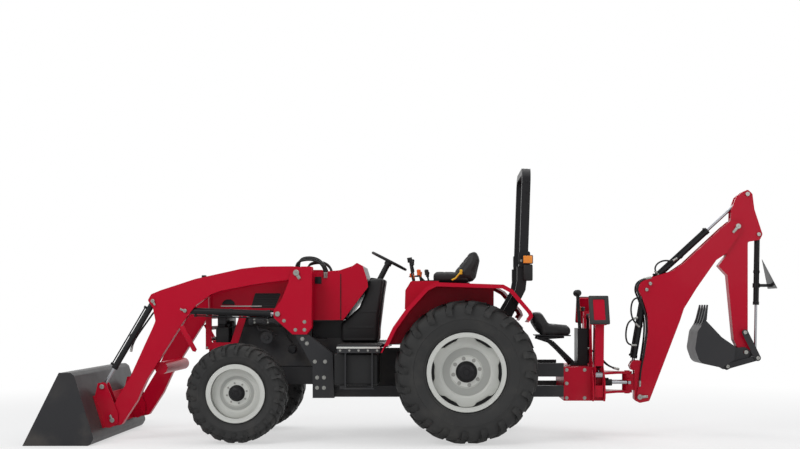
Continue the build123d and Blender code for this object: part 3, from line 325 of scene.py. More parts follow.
vinyl = Finish("seat_vinyl", srgb(33, 33, 34), 0.42)
cells = vinyl.add("ShaderNodeTexVoronoi", {"Vector": vinyl.place, "Scale": 420.0}, out="Distance")
vinyl.set("Roughness", vinyl.noise(7.0, 3.0) * 0.15 + 0.36)
vinyl.bump(cells, 0.0006)
VINYL = vinyl.material

hose_skin = Finish("hose_rubber", srgb(26, 26, 27), 0.5)
hose_skin.bump(hose_skin.noise(500.0, 2.0), 0.0002)
hose_skin.set("Roughness", hose_skin.noise(25.0, 3.0) * 0.15 + 0.42)
HOSE = hose_skin.material

zinc = Finish("zinc_plate", srgb(146, 146, 142), 0.34, metallic=0.7)
zinc.set("Roughness", zinc.noise(35.0, 3.0) * 0.2 + 0.24)
ZINC = zinc.material

lens = Finish("amber_lens", srgb(240, 140, 20), 0.15, coat=0.6)
AMBER = lens.material
YELLOW = enamel("yellow_grip", srgb(240, 196, 60), 0.4, 0.1, dust=0.03)
print("finishes ready")

# %% [markdown]
# ## Finishes on the frame
# Each CAD node takes the finish of its slot in the record. The meshes aren't touched.

# %% Put the finishes on the CAD nodes
FINISH_OF_SLOT = {
    "red_paint": RED, "black_paint": BLACK, "grey_paint": GREY, "wheel_paint": SILVER, "cast_grey": CAST,
    "tyre_rubber": RUBBER, "chrome": CHROME, "black_plastic": PLASTIC, "seat_vinyl": VINYL, "marker_orange": ORANGE,
}
slot_of = {entry["node"]: entry["material_slot"] for entry in frame["record"]["subparts"]}
for name, node in nodes.items():
    node.data.materials.clear()
    node.data.materials.append(FINISH_OF_SLOT[slot_of[name]])
for name, finish in (("cowl", COWL_PAINT), ("lever_consoles", CONSOLE_PAINT), ("rear_triangle", TRIANGLE_PAINT),
                     ("lift_barrels", BLACK), ("tilt_barrels", BLACK)):
    nodes[name].data.materials[0] = finish
print("dressed", len(slot_of))

# %% [markdown]
# ## Modelling helpers
# Pieces are modelled as by hand: a primitive at its size and place, shaped in edit mode, finished with
# modifiers that are applied. Operators act on whatever is selected, so each helper deselects first,
# and a finished object is left at the origin with its place in its mesh.

# %% Write the modelling helpers
AXLE = Vector((REAR_AXLE_X, 0, 0))


def at(x, y, z):
    """A place given in millimetres from the rear axle, in metres in the frame."""
    return AXLE + Vector((x, y, z)) / 1000


def pick(obj):
    """Selects one object alone and makes it the active one."""
    if bpy.context.mode != "OBJECT":
        bpy.ops.object.mode_set(mode="OBJECT")
    bpy.ops.object.select_all(action="DESELECT")
    obj.select_set(True)
    bpy.context.view_layer.objects.active = obj
    return obj


def settle(obj):
    """Puts an object's place, turn and size into its mesh."""
    pick(obj)
    bpy.ops.object.transform_apply(location=True, rotation=True, scale=True)
    return obj


def finish_modifiers(obj):
    pick(obj)
    for modifier in list(obj.modifiers):
        bpy.ops.object.modifier_apply(modifier=modifier.name)
    return obj


def slab(name, low, high):
    """A box between two corners in millimetres from the rear axle."""
    low, high = at(*low), at(*high)
    bpy.ops.object.select_all(action="DESELECT")
    bpy.ops.mesh.primitive_cube_add(size=1, location=(low + high) / 2)
    box = bpy.context.object
    box.name = name
    box.scale = high - low
    return settle(box)


def bevel(obj, width, segments=3, angle=30):
    """Rounds the sharp edges and applies the modifier."""
    edge = obj.modifiers.new("edge", "BEVEL")
    edge.width = width
    edge.segments = segments
    edge.limit_method = "ANGLE"
    edge.angle_limit = math.radians(angle)
    return finish_modifiers(obj)


def smooth(obj, angle=35):
    pick(obj)
    bpy.ops.object.shade_smooth_by_angle(angle=math.radians(angle))
    return obj


def dress(obj, material, body):
    """Gives a piece its finish and the body that it rides on."""
    obj.data.materials.clear()
    obj.data.materials.append(material)
    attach(obj, body)
    return obj


def spun(obj, centre, degrees, axis="Y"):
    """Turns a mesh about a place and leaves the object unturned."""
    turn = Matrix.Translation(centre) @ Matrix.Rotation(math.radians(degrees), 4, axis) @ Matrix.Translation(-centre)
    obj.data.transform(turn)
    obj.data.update()
    return obj


# %% Write helpers for spun shapes, rows of copies and tubes
def choose_faces(obj, test):
    """Enters edit mode with only the faces that pass a test selected."""
    pick(obj)
    bpy.ops.object.mode_set(mode="EDIT")
    bpy.ops.mesh.select_mode(type="FACE")
    bpy.ops.mesh.select_all(action="DESELECT")
    mesh = bmesh.from_edit_mesh(obj.data)
    for face in mesh.faces:
        face.select_set(test(face))
    bmesh.update_edit_mesh(obj.data)


def spun_ring(name, section, centre, axis=(0, 1, 0), steps=96):
    """Spins a closed section, given as radius and distance along the axis in mm, round an axis."""
    axis = Vector(axis).normalized()
    outwards = Vector((0, 0, 1)) if abs(axis.z) < 0.9 else Vector((1, 0, 0))
    outwards = (outwards - axis * outwards.dot(axis)).normalized()
    bpy.ops.object.select_all(action="DESELECT")
    bpy.ops.mesh.primitive_circle_add(vertices=len(section), radius=0.1, location=(0, 0, 0))
    ring = bpy.context.object
    ring.name = name
    for vertex, (reach, along) in zip(ring.data.vertices, section):
        vertex.co = centre + (outwards * reach + axis * along) / 1000
    pick(ring)
    bpy.ops.object.mode_set(mode="EDIT")
    bpy.ops.mesh.select_all(action="SELECT")
    bpy.ops.mesh.spin(steps=steps, angle=math.tau, center=centre, axis=axis)
    bpy.ops.mesh.select_all(action="SELECT")
    bpy.ops.mesh.remove_doubles(threshold=0.00001)
    bpy.ops.mesh.normals_make_consistent(inside=False)
    bpy.ops.object.mode_set(mode="OBJECT")
    return smooth(ring)


def joined(name, pieces):
    """Joins pieces into one object."""
    pick(pieces[0])
    for piece in pieces:
        piece.select_set(True)
    bpy.context.view_layer.objects.active = pieces[0]
    if len(pieces) > 1:
        bpy.ops.object.join()
    pieces[0].name = name
    return pieces[0]


def copied(obj, turns):
    """Copies of an object, each with its own mesh, moved by matrices."""
    copies = []
    for turn in turns:
        copy = obj.copy()
        copy.data = obj.data.copy()
        copy.data.transform(turn)
        scene.collection.objects.link(copy)
        copies.append(copy)
    return copies


def gone(obj):
    bpy.data.objects.remove(obj, do_unlink=True)


def round_bar(name, start, end, radius, sides=20):
    """A bar between two places in metres, with its rims chamfered."""
    run = end - start
    bpy.ops.object.select_all(action="DESELECT")
    bpy.ops.mesh.primitive_cylinder_add(vertices=sides, radius=radius, depth=run.length, location=(start + end) / 2)
    bar = bpy.context.object
    bar.name = name
    bar.rotation_mode = "QUATERNION"
    bar.rotation_quaternion = run.to_track_quat("Z", "Y")
    settle(bar)
    bevel(bar, min(radius, run.length) * 0.18, 2, 50)
    return smooth(bar)


def tube(name, points, radius, body, material, order=3, sides=3):
    """A hose or pipe along points in mm from the rear axle, turned into a mesh."""
    bpy.ops.object.select_all(action="DESELECT")
    curve = bpy.data.curves.new(name, "CURVE")
    curve.dimensions = "3D"
    curve.bevel_depth = radius / 1000
    curve.bevel_resolution = sides
    curve.resolution_u = 6
    curve.use_fill_caps = True
    spline = curve.splines.new("NURBS" if order > 2 else "POLY")
    spline.points.add(len(points) - 1)
    for point, place in zip(spline.points, points):
        point.co = (*at(*place), 1)
    if order > 2:
        spline.order_u = order
        spline.use_endpoint_u = True
    piece = bpy.data.objects.new(name, curve)
    scene.collection.objects.link(piece)
    pick(piece)
    bpy.ops.object.convert(target="MESH")
    smooth(bpy.context.object, 60)
    return dress(bpy.context.object, material, body)


def profile_block(name, corners, y_from, y_to):
    """A side view, as x and z in mm from the rear axle, pulled out from one y to another."""
    bpy.ops.object.select_all(action="DESELECT")
    bpy.ops.mesh.primitive_circle_add(vertices=len(corners), radius=0.1, location=(0, 0, 0), fill_type="NGON")
    block = bpy.context.object
    block.name = name
    for vertex, (x, z) in zip(block.data.vertices, corners):
        vertex.co = at(x, y_from, z)
    choose_faces(block, lambda face: True)
    bpy.ops.mesh.extrude_region_move(TRANSFORM_OT_translate={"value": (0, (y_to - y_from) / 1000, 0)})
    bpy.ops.mesh.select_all(action="SELECT")
    bpy.ops.mesh.normals_make_consistent(inside=False)
    bpy.ops.object.mode_set(mode="OBJECT")
    return block


# %% [markdown]
# ## Tyres
# An industrial tractor tyre has a round carcass and thick bars that lean from the middle of the tread
# and bend down over the shoulder onto the sidewall. The carcass is one section spun round the axle.
# One bar is modelled from a block, extruded twice to bend it down, rounded, and copied round the wheel.
# The bars of the other half are its mirror image, half a pitch later, as on the real tread.

# %% Model the tyres
WHEELS = {
    "front": {"x": -1985, "radius": 436, "width": 300, "rim": 252, "y": 680, "bars": 22, "height": 20},
    "rear": {"x": 0, "radius": 622, "width": 440, "rim": 340, "y": 690, "bars": 20, "height": 26},
}


def tread_bar(size, centre):
    """One bar of the tread at the top of the wheel, on its +Y half."""
    radius, height, half = size["radius"], size["height"], size["width"] / 2
    across = math.tau * radius / size["bars"] * 0.34
    top = radius - 7
    bar = slab("bar", (-across / 2, 0, radius - height - 14), (across / 2, half * 0.68, top))
    bar.data.transform(Matrix.Translation(-AXLE))
    for reach, drop in ((half * 0.28, height * 0.45), (half * 0.17, height * 1.7), (half * 0.02, height * 1.2)):
        choose_faces(bar, lambda face: face.normal.y > 0.5)
        bpy.ops.mesh.extrude_region_move(TRANSFORM_OT_translate={"value": (0, reach / 1000, -drop / 1000)})
        bpy.ops.object.mode_set(mode="OBJECT")
    bevel(bar, 0.005, 2, 25)
    middle = Vector((0, half * 0.5 / 1000, 0))
    lean = Matrix.Translation(middle) @ Matrix.Rotation(math.radians(30), 4, "Z") @ Matrix.Translation(-middle)
    bar.data.transform(Matrix.Translation(centre) @ lean)
    return smooth(bar, 30)


def tyre(name, size, side):
    radius, height, half, rim = size["radius"], size["height"], size["width"] / 2, size["rim"]
    centre = at(size["x"], side * size["y"], radius)
    base = radius - height
    middle = (radius + rim) / 2
    flank = [
        (rim - 21, half * 0.72), (rim - 6, half * 0.77), (rim + 6, half * 0.79), (rim + 12, half * 0.83),
        (rim + 24, half * 0.85), (rim + 30, half * 0.89), (rim + 33, half * 0.90), (middle - 28, half * 0.965),
        (middle - 24, half * 0.985), (middle - 18, half * 0.985), (middle - 14, half * 0.98), (middle + 10, half * 0.992),
        (middle + 40, half * 0.985), (base - 46, half * 0.955), (base - 26, half * 0.92), (base - 8, half * 0.82),
        (base, half * 0.66), (base + 3, half * 0.3),
    ]
    section = flank + [(reach, -along) for reach, along in reversed(flank)]
    carcass = spun_ring("carcass", section, centre, steps=112)
    near = tread_bar(size, centre)
    flip = Matrix.Translation(centre) @ Matrix.Scale(-1, 4, (0, 1, 0)) @ Matrix.Translation(-centre)
    far = copied(near, [flip])[0]
    far.data.flip_normals()
    pitch = math.tau / size["bars"]

    def turned(angle):
        return Matrix.Translation(centre) @ Matrix.Rotation(angle, 4, "Y") @ Matrix.Translation(-centre)

    bars = copied(near, [turned(index * pitch) for index in range(size["bars"])])
    bars += copied(far, [turned((index + 0.5) * pitch) for index in range(size["bars"])])
    gone(near)
    gone(far)
    whole = joined(name, [carcass] + bars)
    return whole


for axle, size in WHEELS.items():
    for side, hand in ((-1, "left"), (1, "right")):
        piece = tyre(f"{axle}_tread_{hand}", size, side)
        dress(piece, RUBBER, f"{axle}_wheel_{hand}")
        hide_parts(f"{axle}_tyre_{hand}")

# %% [markdown]
# ## Bolts and hubs
# A hexagon head sits on a washer, and its top is chamfered. One bolt is modelled at the origin, pointing
# up, and copied to every place that needs one. A row of bolts on one body is joined into one piece.

# %% Model bolts, hub caps and rolled rim edges
def bolt(size):
    """A hexagon head on a washer, standing on the origin and pointing up."""
    bpy.ops.object.select_all(action="DESELECT")
    bpy.ops.mesh.primitive_cylinder_add(vertices=6, radius=size / 1000, depth=size * 0.7 / 1000,
                                        location=(0, 0, size * 0.5 / 1000))
    head = settle(bpy.context.object)
    bevel(head, size * 0.00012, 1, 40)
    bpy.ops.object.select_all(action="DESELECT")
    bpy.ops.mesh.primitive_cylinder_add(vertices=18, radius=size * 1.45 / 1000, depth=size * 0.18 / 1000,
                                        location=(0, 0, size * 0.08 / 1000))
    washer = settle(bpy.context.object)
    bevel(washer, size * 0.00004, 1, 40)
    return joined("bolt", [head, washer])


def bolts(name, places, axis, size, body, material=None):
    """Bolts at places in mm from the rear axle, with their heads along axis."""
    one = bolt(size)
    turn = Vector(axis).to_track_quat("Z", "Y").to_matrix().to_4x4()
    row = copied(one, [Matrix.Translation(at(*place)) @ turn for place in places])
    gone(one)
    return dress(smooth(joined(name, row)), material or ZINC, body)


def circle_of(centre, reach, count, start=0.0):
    """Places on an upright circle round a point, in mm."""
    x, y, z = centre
    steps = [math.radians(start) + index * math.tau / count for index in range(count)]
    return [(x + reach * math.cos(angle), y, z + reach * math.sin(angle)) for angle in steps]


def wheel_disc(axle, hand, size, side, lobe, floor_reach, hub_reach):
    """A pressed disc on the dish: its rim in six lobes, a sunken floor and a raised ring round the hub. A black ring
    behind the rim is painted shade between the lobes, and a darker silver sheet on the floor is painted shade.
    """
    inner = size["rim"] - 22 - 9
    dish = size["width"] / 2 * 0.74 * 0.35
    centre = at(size["x"], side * size["y"], size["radius"])
    rim_reach = inner - 3
    section = [(hub_reach - 60, 1), (hub_reach - 60, 16), (hub_reach, 16), (hub_reach + 12, 5), (floor_reach, 5),
               (floor_reach + 16, 17), (rim_reach - 2 * lobe - 12, 17), (rim_reach - 3, 14), (rim_reach, 10), (rim_reach, 1)]
    disc = spun_ring("disc", [(reach, side * (dish + along)) for reach, along in section], centre, steps=144)
    for vertex in disc.data.vertices:
        off = vertex.co - centre
        reach = math.hypot(off.x, off.z)
        if reach * 1000 > rim_reach - 6:
            drop = lobe * (1 - math.tanh(3 * math.cos(6 * math.atan2(off.x, off.z)))) / 1000
            off.x, off.z = off.x * (reach - drop) / reach, off.z * (reach - drop) / reach
            vertex.co = centre + off
    body = f"{axle}_wheel_{hand}"
    dress(smooth(disc, 30), SILVER, body)
    disc.name = f"{axle}_disc_{hand}"
    # A black ring under the disc's rim is painted shade, seen between the lobes of the disc.
    painted_shade_section = [(inner - 1, 0), (inner - 1, 3), (inner - 60, 3), (inner - 60, 0)]
    shade = spun_ring(f"{axle}_disc_shade_{hand}", [(reach, side * (dish + along)) for reach, along in painted_shade_section], centre)
    dress(shade, BLACK, body)
    # A thin sheet in the darker silver lies on the sunken floor as painted shade.
    shaded_floor_ring = [(hub_reach + 14, 5), (hub_reach + 14, 7), (floor_reach - 3, 7), (floor_reach - 3, 5)]
    pressed = spun_ring(f"{axle}_disc_floor_shade_{hand}", [(reach, side * (dish + along)) for reach, along in shaded_floor_ring], centre)
    return dress(pressed, SHADED_SILVER, body)


for axle, size, hub, bolt_reach, bolt_size in (("front", WHEELS["front"], 62, 88, 9), ("rear", WHEELS["rear"], 84, 116, 12)):
    half = size["width"] / 2 * 0.74
    face = half * 0.35 + 14
    for side, hand in ((-1, "left"), (1, "right")):
        body = f"{axle}_wheel_{hand}"
        centre = at(size["x"], side * size["y"], size["radius"])
        cap = [(0.5, 56), (hub * 0.30, 56), (hub * 0.36, 51), (hub * 0.74, 48), (hub * 0.84, 43), (hub + 3, 8),
               (hub + 9, 3), (hub + 9, 0), (0.5, 0)]
        cap = [(reach, side * (face + along)) for reach, along in cap]
        dress(spun_ring(f"{axle}_hub_cap_{hand}", cap, centre, steps=48), BLACK, body)
        edge = [(size["rim"] - 4 + 6 * math.cos(step), side * (half + 21 + 5 * math.sin(step)))
                for step in (index * math.tau / 10 for index in range(10))]
        dress(spun_ring(f"{axle}_rim_edge_{hand}", edge, centre), SILVER, body)
        inner = size["rim"] - 22 - 9
        step_ring = [(inner, half - face + 2), (inner, half - face + 26), (inner - 7, half - face + 26),
                     (inner - 7, half - face + 8)]
        step_ring = [(reach, side * (face + along)) for reach, along in step_ring]
        dress(spun_ring(f"{axle}_rim_step_{hand}", step_ring, centre), SILVER, body)
        wheel_disc(axle, hand, size, side, 0 if axle == "front" else 14, inner * 0.68, hub + 46)
        y = side * (size["y"] + face)
        places = circle_of((size["x"], y, size["radius"]), bolt_reach, 8, 12)
        bolts(f"{axle}_wheel_bolts_{hand}", places, (0, side, 0), bolt_size, body)
        y = side * (size["y"] + face + 48)
        places = circle_of((size["x"], y, size["radius"]), hub * 0.55, 6)
        bolts(f"{axle}_hub_bolts_{hand}", places, (0, side, 0), 6, body, BLACK)
print("wheels dressed")

# %% [markdown]
# ## Cushions
# Both seats are foam under vinyl: the face crowns, the sides pull in between the corners, and the bottom
# is flat on its pan. A slightly small block is remeshed and blown up as cloth, then each point is held
# to a short way from where it began, which gives a crown that a bevel alone can't.

# %% Blow up a cushion
VOXEL = 0.006


def puff(obj, pressure=4.0, limit=0.010, frames=20):
    """Swells a closed block as cloth and caps how far each point moves."""
    pick(obj)
    obj.data.remesh_voxel_size = VOXEL
    bpy.ops.object.voxel_remesh()
    start = [vertex.co.copy() for vertex in obj.data.vertices]
    cloth = obj.modifiers.new("cloth", "CLOTH")
    cloth.settings.use_pressure = True
    cloth.settings.uniform_pressure_force = pressure
    cloth.settings.effector_weights.gravity = 0
    for step in range(1, frames + 1):
        scene.frame_set(step)
    finish_modifiers(obj)
    scene.frame_set(1)
    for vertex, home in zip(obj.data.vertices, start):
        step = vertex.co - home
        if step.length > limit:
            vertex.co = home + step.normalized() * limit
    return obj


def channels(obj, axis, places, width, depth, facing, side):
    """Presses sewn channels into the face that looks along facing."""
    for vertex in obj.data.vertices:
        if vertex.normal.dot(facing) < side:
            continue
        for place in places:
            away = (vertex.co[axis] - place) / width
            if abs(away) < 3:
                vertex.co -= facing * depth * math.exp(-away * away)
    obj.data.update()
    return obj


def cushion(name, low, high, inset, node_body, seams, lean=0.0):
    """A padded block with rounded corners, sewn channels across it and a fine vinyl skin."""
    pad = slab(name, [a + inset for a in low], [b - inset for b in high])
    bevel(pad, 0.028, 4)
    puff(pad)
    up = Vector((0, 0, 1))
    channels(pad, 0, [at(x, 0, 0).x for x in seams], 0.004, 0.005, up, 0.4)
    if lean:
        spun(pad, at((low[0] + high[0]) / 2, 0, low[2]), lean)
    fine = pad.modifiers.new("fine", "SUBSURF")
    fine.levels = fine.render_levels = 1
    finish_modifiers(pad)
    smooth(pad, 60)
    dress(pad, VINYL, node_body)
    return pad


seat_cushion = cushion("seat_cushion", (-306, -228, 1400), (50, 228, 1500), 8, "tractor", (-190, -100))
back_corners = [(-104, 1478), (64, 1688), (100, 1686), (124, 1615), (78, 1418), (-70, 1424)]
seat_back = profile_block("seat_back", back_corners, -212, 212)
bevel(seat_back, 0.026, 4)
puff(seat_back)
forwards = Vector((-0.82, 0, 0.57))
channels(seat_back, 2, [at(0, 0, z).z for z in (1550, 1596, 1642)], 0.004, 0.005, forwards, 0.6)
fine_back = seat_back.modifiers.new("fine", "SUBSURF")
fine_back.levels = fine_back.render_levels = 1
finish_modifiers(seat_back)
smooth(seat_back, 60)
dress(seat_back, VINYL, "tractor")
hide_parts("operator_seat")
rear_corners = [(612, 1140), (684, 1128), (750, 1022), (955, 1004), (962, 936), (800, 928), (690, 932), (618, 1046)]
rear_cushion = profile_block("rear_seat_cushion", rear_corners, -218, 218)
bevel(rear_cushion, 0.024, 4)
puff(rear_cushion)
channels(rear_cushion, 0, [at(x, 0, 0).x for x in (800, 880)], 0.004, 0.005, Vector((0, 0, 1)), 0.4)
fine_rear = rear_cushion.modifiers.new("fine", "SUBSURF")
fine_rear.levels = fine_rear.render_levels = 1
finish_modifiers(rear_cushion)
smooth(rear_cushion, 60)
dress(rear_cushion, VINYL, "tractor")
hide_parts("rear_seat")
seat_pan = profile_block("rear_seat_pan", [(640, 926), (960, 926), (960, 916), (640, 916)], -190, 190)
dress(bevel(seat_pan, 0.004, 2), GREY, "tractor")
for index, y in enumerate((-120, 120)):
    tube(f"rear_seat_frame_{index}", [(700, y, 916), (760, y, 880), (905, y, 740), (985, y, 640)], 14, "tractor", GREY)
print("cushions", [len(piece.data.vertices) for piece in (seat_cushion, seat_back, rear_cushion)])

# %% [markdown]
# ## Pins
# Every joint of the loader and the backhoe turns on a pin whose end shows outside the plates, zinc plated,
# with a keeper tongue and one small bolt so that it can't turn or slide out. A pin end is spun from a
# section with a chamfer and a dimple, and it rides on the body that holds the pin.

# %% Model the pin ends
def pin_ends(name, place, reach, radius, body, keeper=0.0, keeper_angle=0.0, sides=(-1, 1)):
    """Zinc ends on both sides of a pin, with a keeper tongue of a given length in mm."""
    x, z = place
    for side in sides:
        hand = "left" if side < 0 else "right"
        section = [(0.5, -3), (0.5, 3), (4, 3), (6, 5.5), (radius - 2, 5.5), (radius + 1, 2.5), (radius + 1, -3)]
        section = [(out, side * along) for out, along in section]
        pieces = [spun_ring(name, section, at(x, side * (reach + 3), z), steps=32)]
        if keeper:
            angle = math.radians(keeper_angle)
            tip = (x + keeper * math.cos(angle), z + keeper * math.sin(angle))
            across = Vector((-math.sin(angle), math.cos(angle))) * radius * 0.62
            corners = [(x - across.x, z - across.y), (tip[0] - across.x * 0.8, tip[1] - across.y * 0.8),
                       (tip[0] + across.x * 0.8, tip[1] + across.y * 0.8), (x + across.x, z + across.y)]
            low, high = sorted((side * reach, side * (reach + 5)))
            tongue = profile_block(name, corners, low, high)
            pieces.append(smooth(bevel(tongue, 0.004, 2)))
            head = bolt(6)
            turn = Vector((0, side, 0)).to_track_quat("Z", "Y").to_matrix().to_4x4()
            spot = at(x + (keeper - 10) * math.cos(angle), side * (reach + 5), z + (keeper - 10) * math.sin(angle))
            head.data.transform(Matrix.Translation(spot) @ turn)
            pieces.append(head)
        dress(joined(f"{name}_{hand}", pieces), ZINC, body)


PINS = [
    ("boom_base_pin", (1665, 1340), 86, 15, "backhoe_boom", 0, 0),
    ("dipper_ram_pin", (1698, 1396), 86, 15, "backhoe_boom", 0, 0),
    ("dipper_pivot_pin", (2505, 1922), 86, 23, "backhoe_boom", 78, -130),
    ("boom_foot_pin", (1602, 355), 86, 23, "swing_post", 74, 4),
    ("bucket_ram_pin", (2698, 1849), 65, 17, "dipper", 0, 0),
    ("dipper_top_pin", (2595, 2219), 65, 19, "dipper", 0, 0),
    ("guide_pin", (2563, 948), 108, 17, "dipper", 0, 0),
    ("bucket_pivot_pin", (2576, 766), 84, 18, "dipper", 0, 0),
    ("link_pin", (2679, 714), 110, 16, "guide_links", 0, 0),
    ("bucket_link_pin", (2407, 637), 91, 16, "bucket_link", 0, 0),
    ("loader_pivot_pin", (-1492, 1481), 569, 26, "tractor", 62, -60),
    ("lift_rod_pin", (-1656, 1119), 569, 22, "tractor", 0, 0),
    ("lift_base_pin", (-2473, 1148), 549, 16, "loader_arms", 44, 160),
    ("tilt_base_pin", (-2756, 1234), 549, 16, "loader_arms", 44, -60),
    ("tilt_rod_pin", (-3198, 481), 567, 20, "loader_bucket", 0, 0),
    ("attach_pin", (-3109, 187), 567, 20, "loader_bucket", 48, 110),
]
for pin in PINS:
    pin_ends(*pin)
print("pins", len(PINS))

# %% [markdown]
# ## Oil pipes on the cylinders
# Each cylinder is fed at both ends. A steel pipe runs along the barrel from the port at its foot to the
# port at its gland, held by a clamp, and a short block welded on the barrel takes each end.

# %% Run the pipes
def ram_pipe(name, base, tip, y, body, closed, barrel, side):
    """A pipe along a barrel, on the side given as a direction across the barrel."""
    foot, head = at(base[0], y, base[1]), at(tip[0], y, tip[1])
    along = (head - foot).normalized()
    across = Vector(side)
    across = (across - along * across.dot(along)).normalized()
    reach = (barrel + 12) / 1000
    length = (closed - 70 - 26) / 1000
    ports = []
    for distance in (0.085, length):
        spot = foot + along * distance
        ports.append(round_bar("port", spot + across * (barrel - 2) / 1000, spot + across * (reach + 0.012), 0.011, 12))
    low = barrel / (barrel + 12)
    run = [(0.085, low), (0.085, 1), (0.12, 1), (length / 2, 1), (length - 0.035, 1), (length, 1), (length, low)]
    points = [(foot + along * distance + across * reach * share - AXLE) * 1000 for distance, share in run]
    pipe = tube("pipe", points, 6, body, BLACK)
    band = [(barrel - 1, -12), (barrel + 4, -12), (barrel + 4, 12), (barrel - 1, 12)]
    clamp = spun_ring("clamp", band, foot + along * length * 0.55, axis=along, steps=36)
    dress(joined(name, [pipe, clamp] + ports), BLACK, body)


for hand, y in (("left", -500), ("right", 500)):
    ram_pipe(f"lift_pipe_{hand}", (-2473, 1148), (-1656, 1119), y, "lift_barrels", 818, 29, (0, 0, -1))
    ram_pipe(f"tilt_pipe_{hand}", (-2756, 1234), (-3198, 481), y, "tilt_barrels", 760, 26, (-1, 0, 0.6))
ram_pipe("boom_pipe", (1665, 1340), (1545, 640), 0, "boom_barrel", 710, 29, (-1, -0.5, 0))
ram_pipe("dipper_pipe", (1698, 1396), (2595, 2219), 0, "dipper_barrel", 802, 29, (-0.6, -0.8, 0.6))
ram_pipe("bucket_pipe", (2698, 1849), (2679, 714), 0, "bucket_barrel", 718, 26, (0, -1, 0))

# %% [markdown]
# ## Hoses
# Hoses are rubber over steel braid, so they keep wide bends, and each end has a crimped sleeve and a
# nut. Each is a smooth curve through a few points: straight out of its fitting, over in one arc, and
# straight into the next. Both ends are held, so none of them is a loose cord.

# %% Hang the hoses
def hose(name, points, body, radius=9):
    """A black hose with a zinc sleeve at each end."""
    line = tube(name, points, radius, body, HOSE)
    sleeves = []
    for end, inner in ((points[0], points[1]), (points[-1], points[-2])):
        start = at(*end)
        along = (at(*inner) - start).normalized()
        sleeves.append(round_bar("sleeve", start - along * 0.008, start + along * 0.034, (radius + 3) / 1000, 14))
        sleeves.append(round_bar("nut", start - along * 0.020, start - along * 0.006, (radius + 5) / 1000, 6))
    dress(joined(f"{name}_fittings", sleeves), ZINC, body)
    return line


for index, (y, lift) in enumerate(((446, 0), (424, 14), (402, 26))):
    for hand, side in (("left", -1), ("right", 1)):
        if side > 0 and index > 1:
            continue
        points = [(-1512 + index * 12, side * (y - 6), 1500), (-1510 + index * 12, side * (y - 6), 1560),
                  (-1470, side * (y - 8), 1592 + lift), (-1370, side * (y - 30), 1604 + lift),
                  (-1290, side * (y - 60), 1570 + lift), (-1262 + index * 14, side * (y - 90), 1500),
                  (-1262 + index * 14, side * (y - 100), 1462)]
        hose(f"tower_hose_{index}_{hand}", points, "tractor")
for index, y in enumerate((-72, -58, 58, 72)):
    edge = [(1604, y, 470), (1606, y, 560), (1640, y, 740), (1668, y, 950), (1660, y, 1110), (1606, y, 1270),
            (1578, y, 1330), (1590, y, 1400), (1640, y, 1436), (1690, y, 1448)]
    hose(f"boom_hose_{index}", edge, "backhoe_boom", 8)
hose("boom_ram_hose_upper", [(1640, -38, 1262), (1600, -44, 1270), (1540, -52, 1250), (1520, -54, 1150),
                             (1545, -54, 1050), (1590, -44, 1010)], "boom_barrel", 8)
hose("boom_ram_hose_lower", [(1560, -38, 830), (1510, -46, 830), (1478, -50, 880), (1480, -50, 980),
                             (1510, -50, 1060), (1570, -44, 1080)], "boom_barrel", 8)
hose("dipper_ram_hose", [(1768, -40, 1490), (1740, -52, 1520), (1760, -58, 1580), (1830, -60, 1612), (1900, -56, 1600),
                         (1936, -40, 1620)], "dipper_barrel", 8)
for hand, side in (("left", -1), ("right", 1)):
    points = [(-2700, side * 448, 1196), (-2760, side * 446, 1150), (-2822, side * 446, 1060), (-2900, side * 452, 950),
              (-2952, side * 462, 860), (-2960, side * 480, 806)]
    hose(f"tilt_hose_{hand}", points, "tilt_barrels", 8)
    arm_line = [(-1730, side * 453, 1482), (-1900, side * 453, 1462), (-2180, side * 453, 1406), (-2420, side * 453, 1330),
                (-2600, side * 453, 1262), (-2690, side * 453, 1210)]
    for index, drop in enumerate((0, 20, 40)):
        tube(f"arm_pipe_{index}_{hand}", [(x, y, z - drop) for x, y, z in arm_line], 6, "loader_arms", BLACK)
for index, y in enumerate((-72, -48, -24, 0, 24, 48, 72)):
    points = [(1122, y, 800), (1160, y, 790), (1230, y * 0.9, 740), (1290, y * 0.7, 664), (1350, y * 0.6, 624), (1400, y * 0.5, 612)]
    hose(f"valve_hose_{index}", points, "tractor", 8)

# %% [markdown]
# ## Bolts on the frame
# Plates are bolted wherever the real machine comes apart: the loader brackets, the towers, the hinge of
# the roll bar, the guard, the fenders and the backhoe's main frame.

# %% Set the bolts
for hand, side in (("left", -1), ("right", 1)):
    bracket = [(-1310, side * 545, 470), (-1250, side * 545, 470), (-1310, side * 545, 560), (-1250, side * 545, 560),
               (-1330, side * 545, 700), (-1240, side * 545, 700), (-1440, side * 545, 900), (-1400, side * 545, 860)]
    bolts(f"bracket_bolts_{hand}", bracket, (0, side, 0), 12, "tractor")
    tower = [(-1420, side * 559, 1050), (-1600, side * 559, 1060), (-1420, side * 559, 980), (-1500, side * 559, 980)]
    bolts(f"tower_bolts_{hand}", tower, (0, side, 0), 11, "tractor")
    hinge = [(490, side * 469, 1592), (550, side * 469, 1592)]
    bolts(f"roll_bar_bolts_{hand}", hinge, (0, side, 0), 8, "tractor")
    guard = [(-2326, side * 300, 1104), (-2326, side * 300, 816), (-2090, side * 300, 840), (-2010, side * 300, 1100)]
    bolts(f"guard_bolts_{hand}", guard, (0, side, 0), 7, "tractor")
    frame_bolts = [(900, side * 400, 620), (900, side * 400, 370), (900, side * 400, 500), (1060, side * 400, 620),
                   (1060, side * 400, 370)]
    bolts(f"frame_bolts_{hand}", frame_bolts, (0, side, 0), 11, "tractor")
    hoop = [(540, side * 455, 2290), (540, side * 455, 2200), (540, side * 455, 2130)]
    bolts(f"hoop_bolts_{hand}", hoop, (0, side, 0), 9, "rops_hoop", BLACK)

# %% [markdown]
# ## Levers, knobs and lamps
# Grips are soft plastic over a steel rod, swollen near the top. Each is spun from a section. The orange
# ones work the gearbox and the throttle, the black ones the loader and the backhoe.

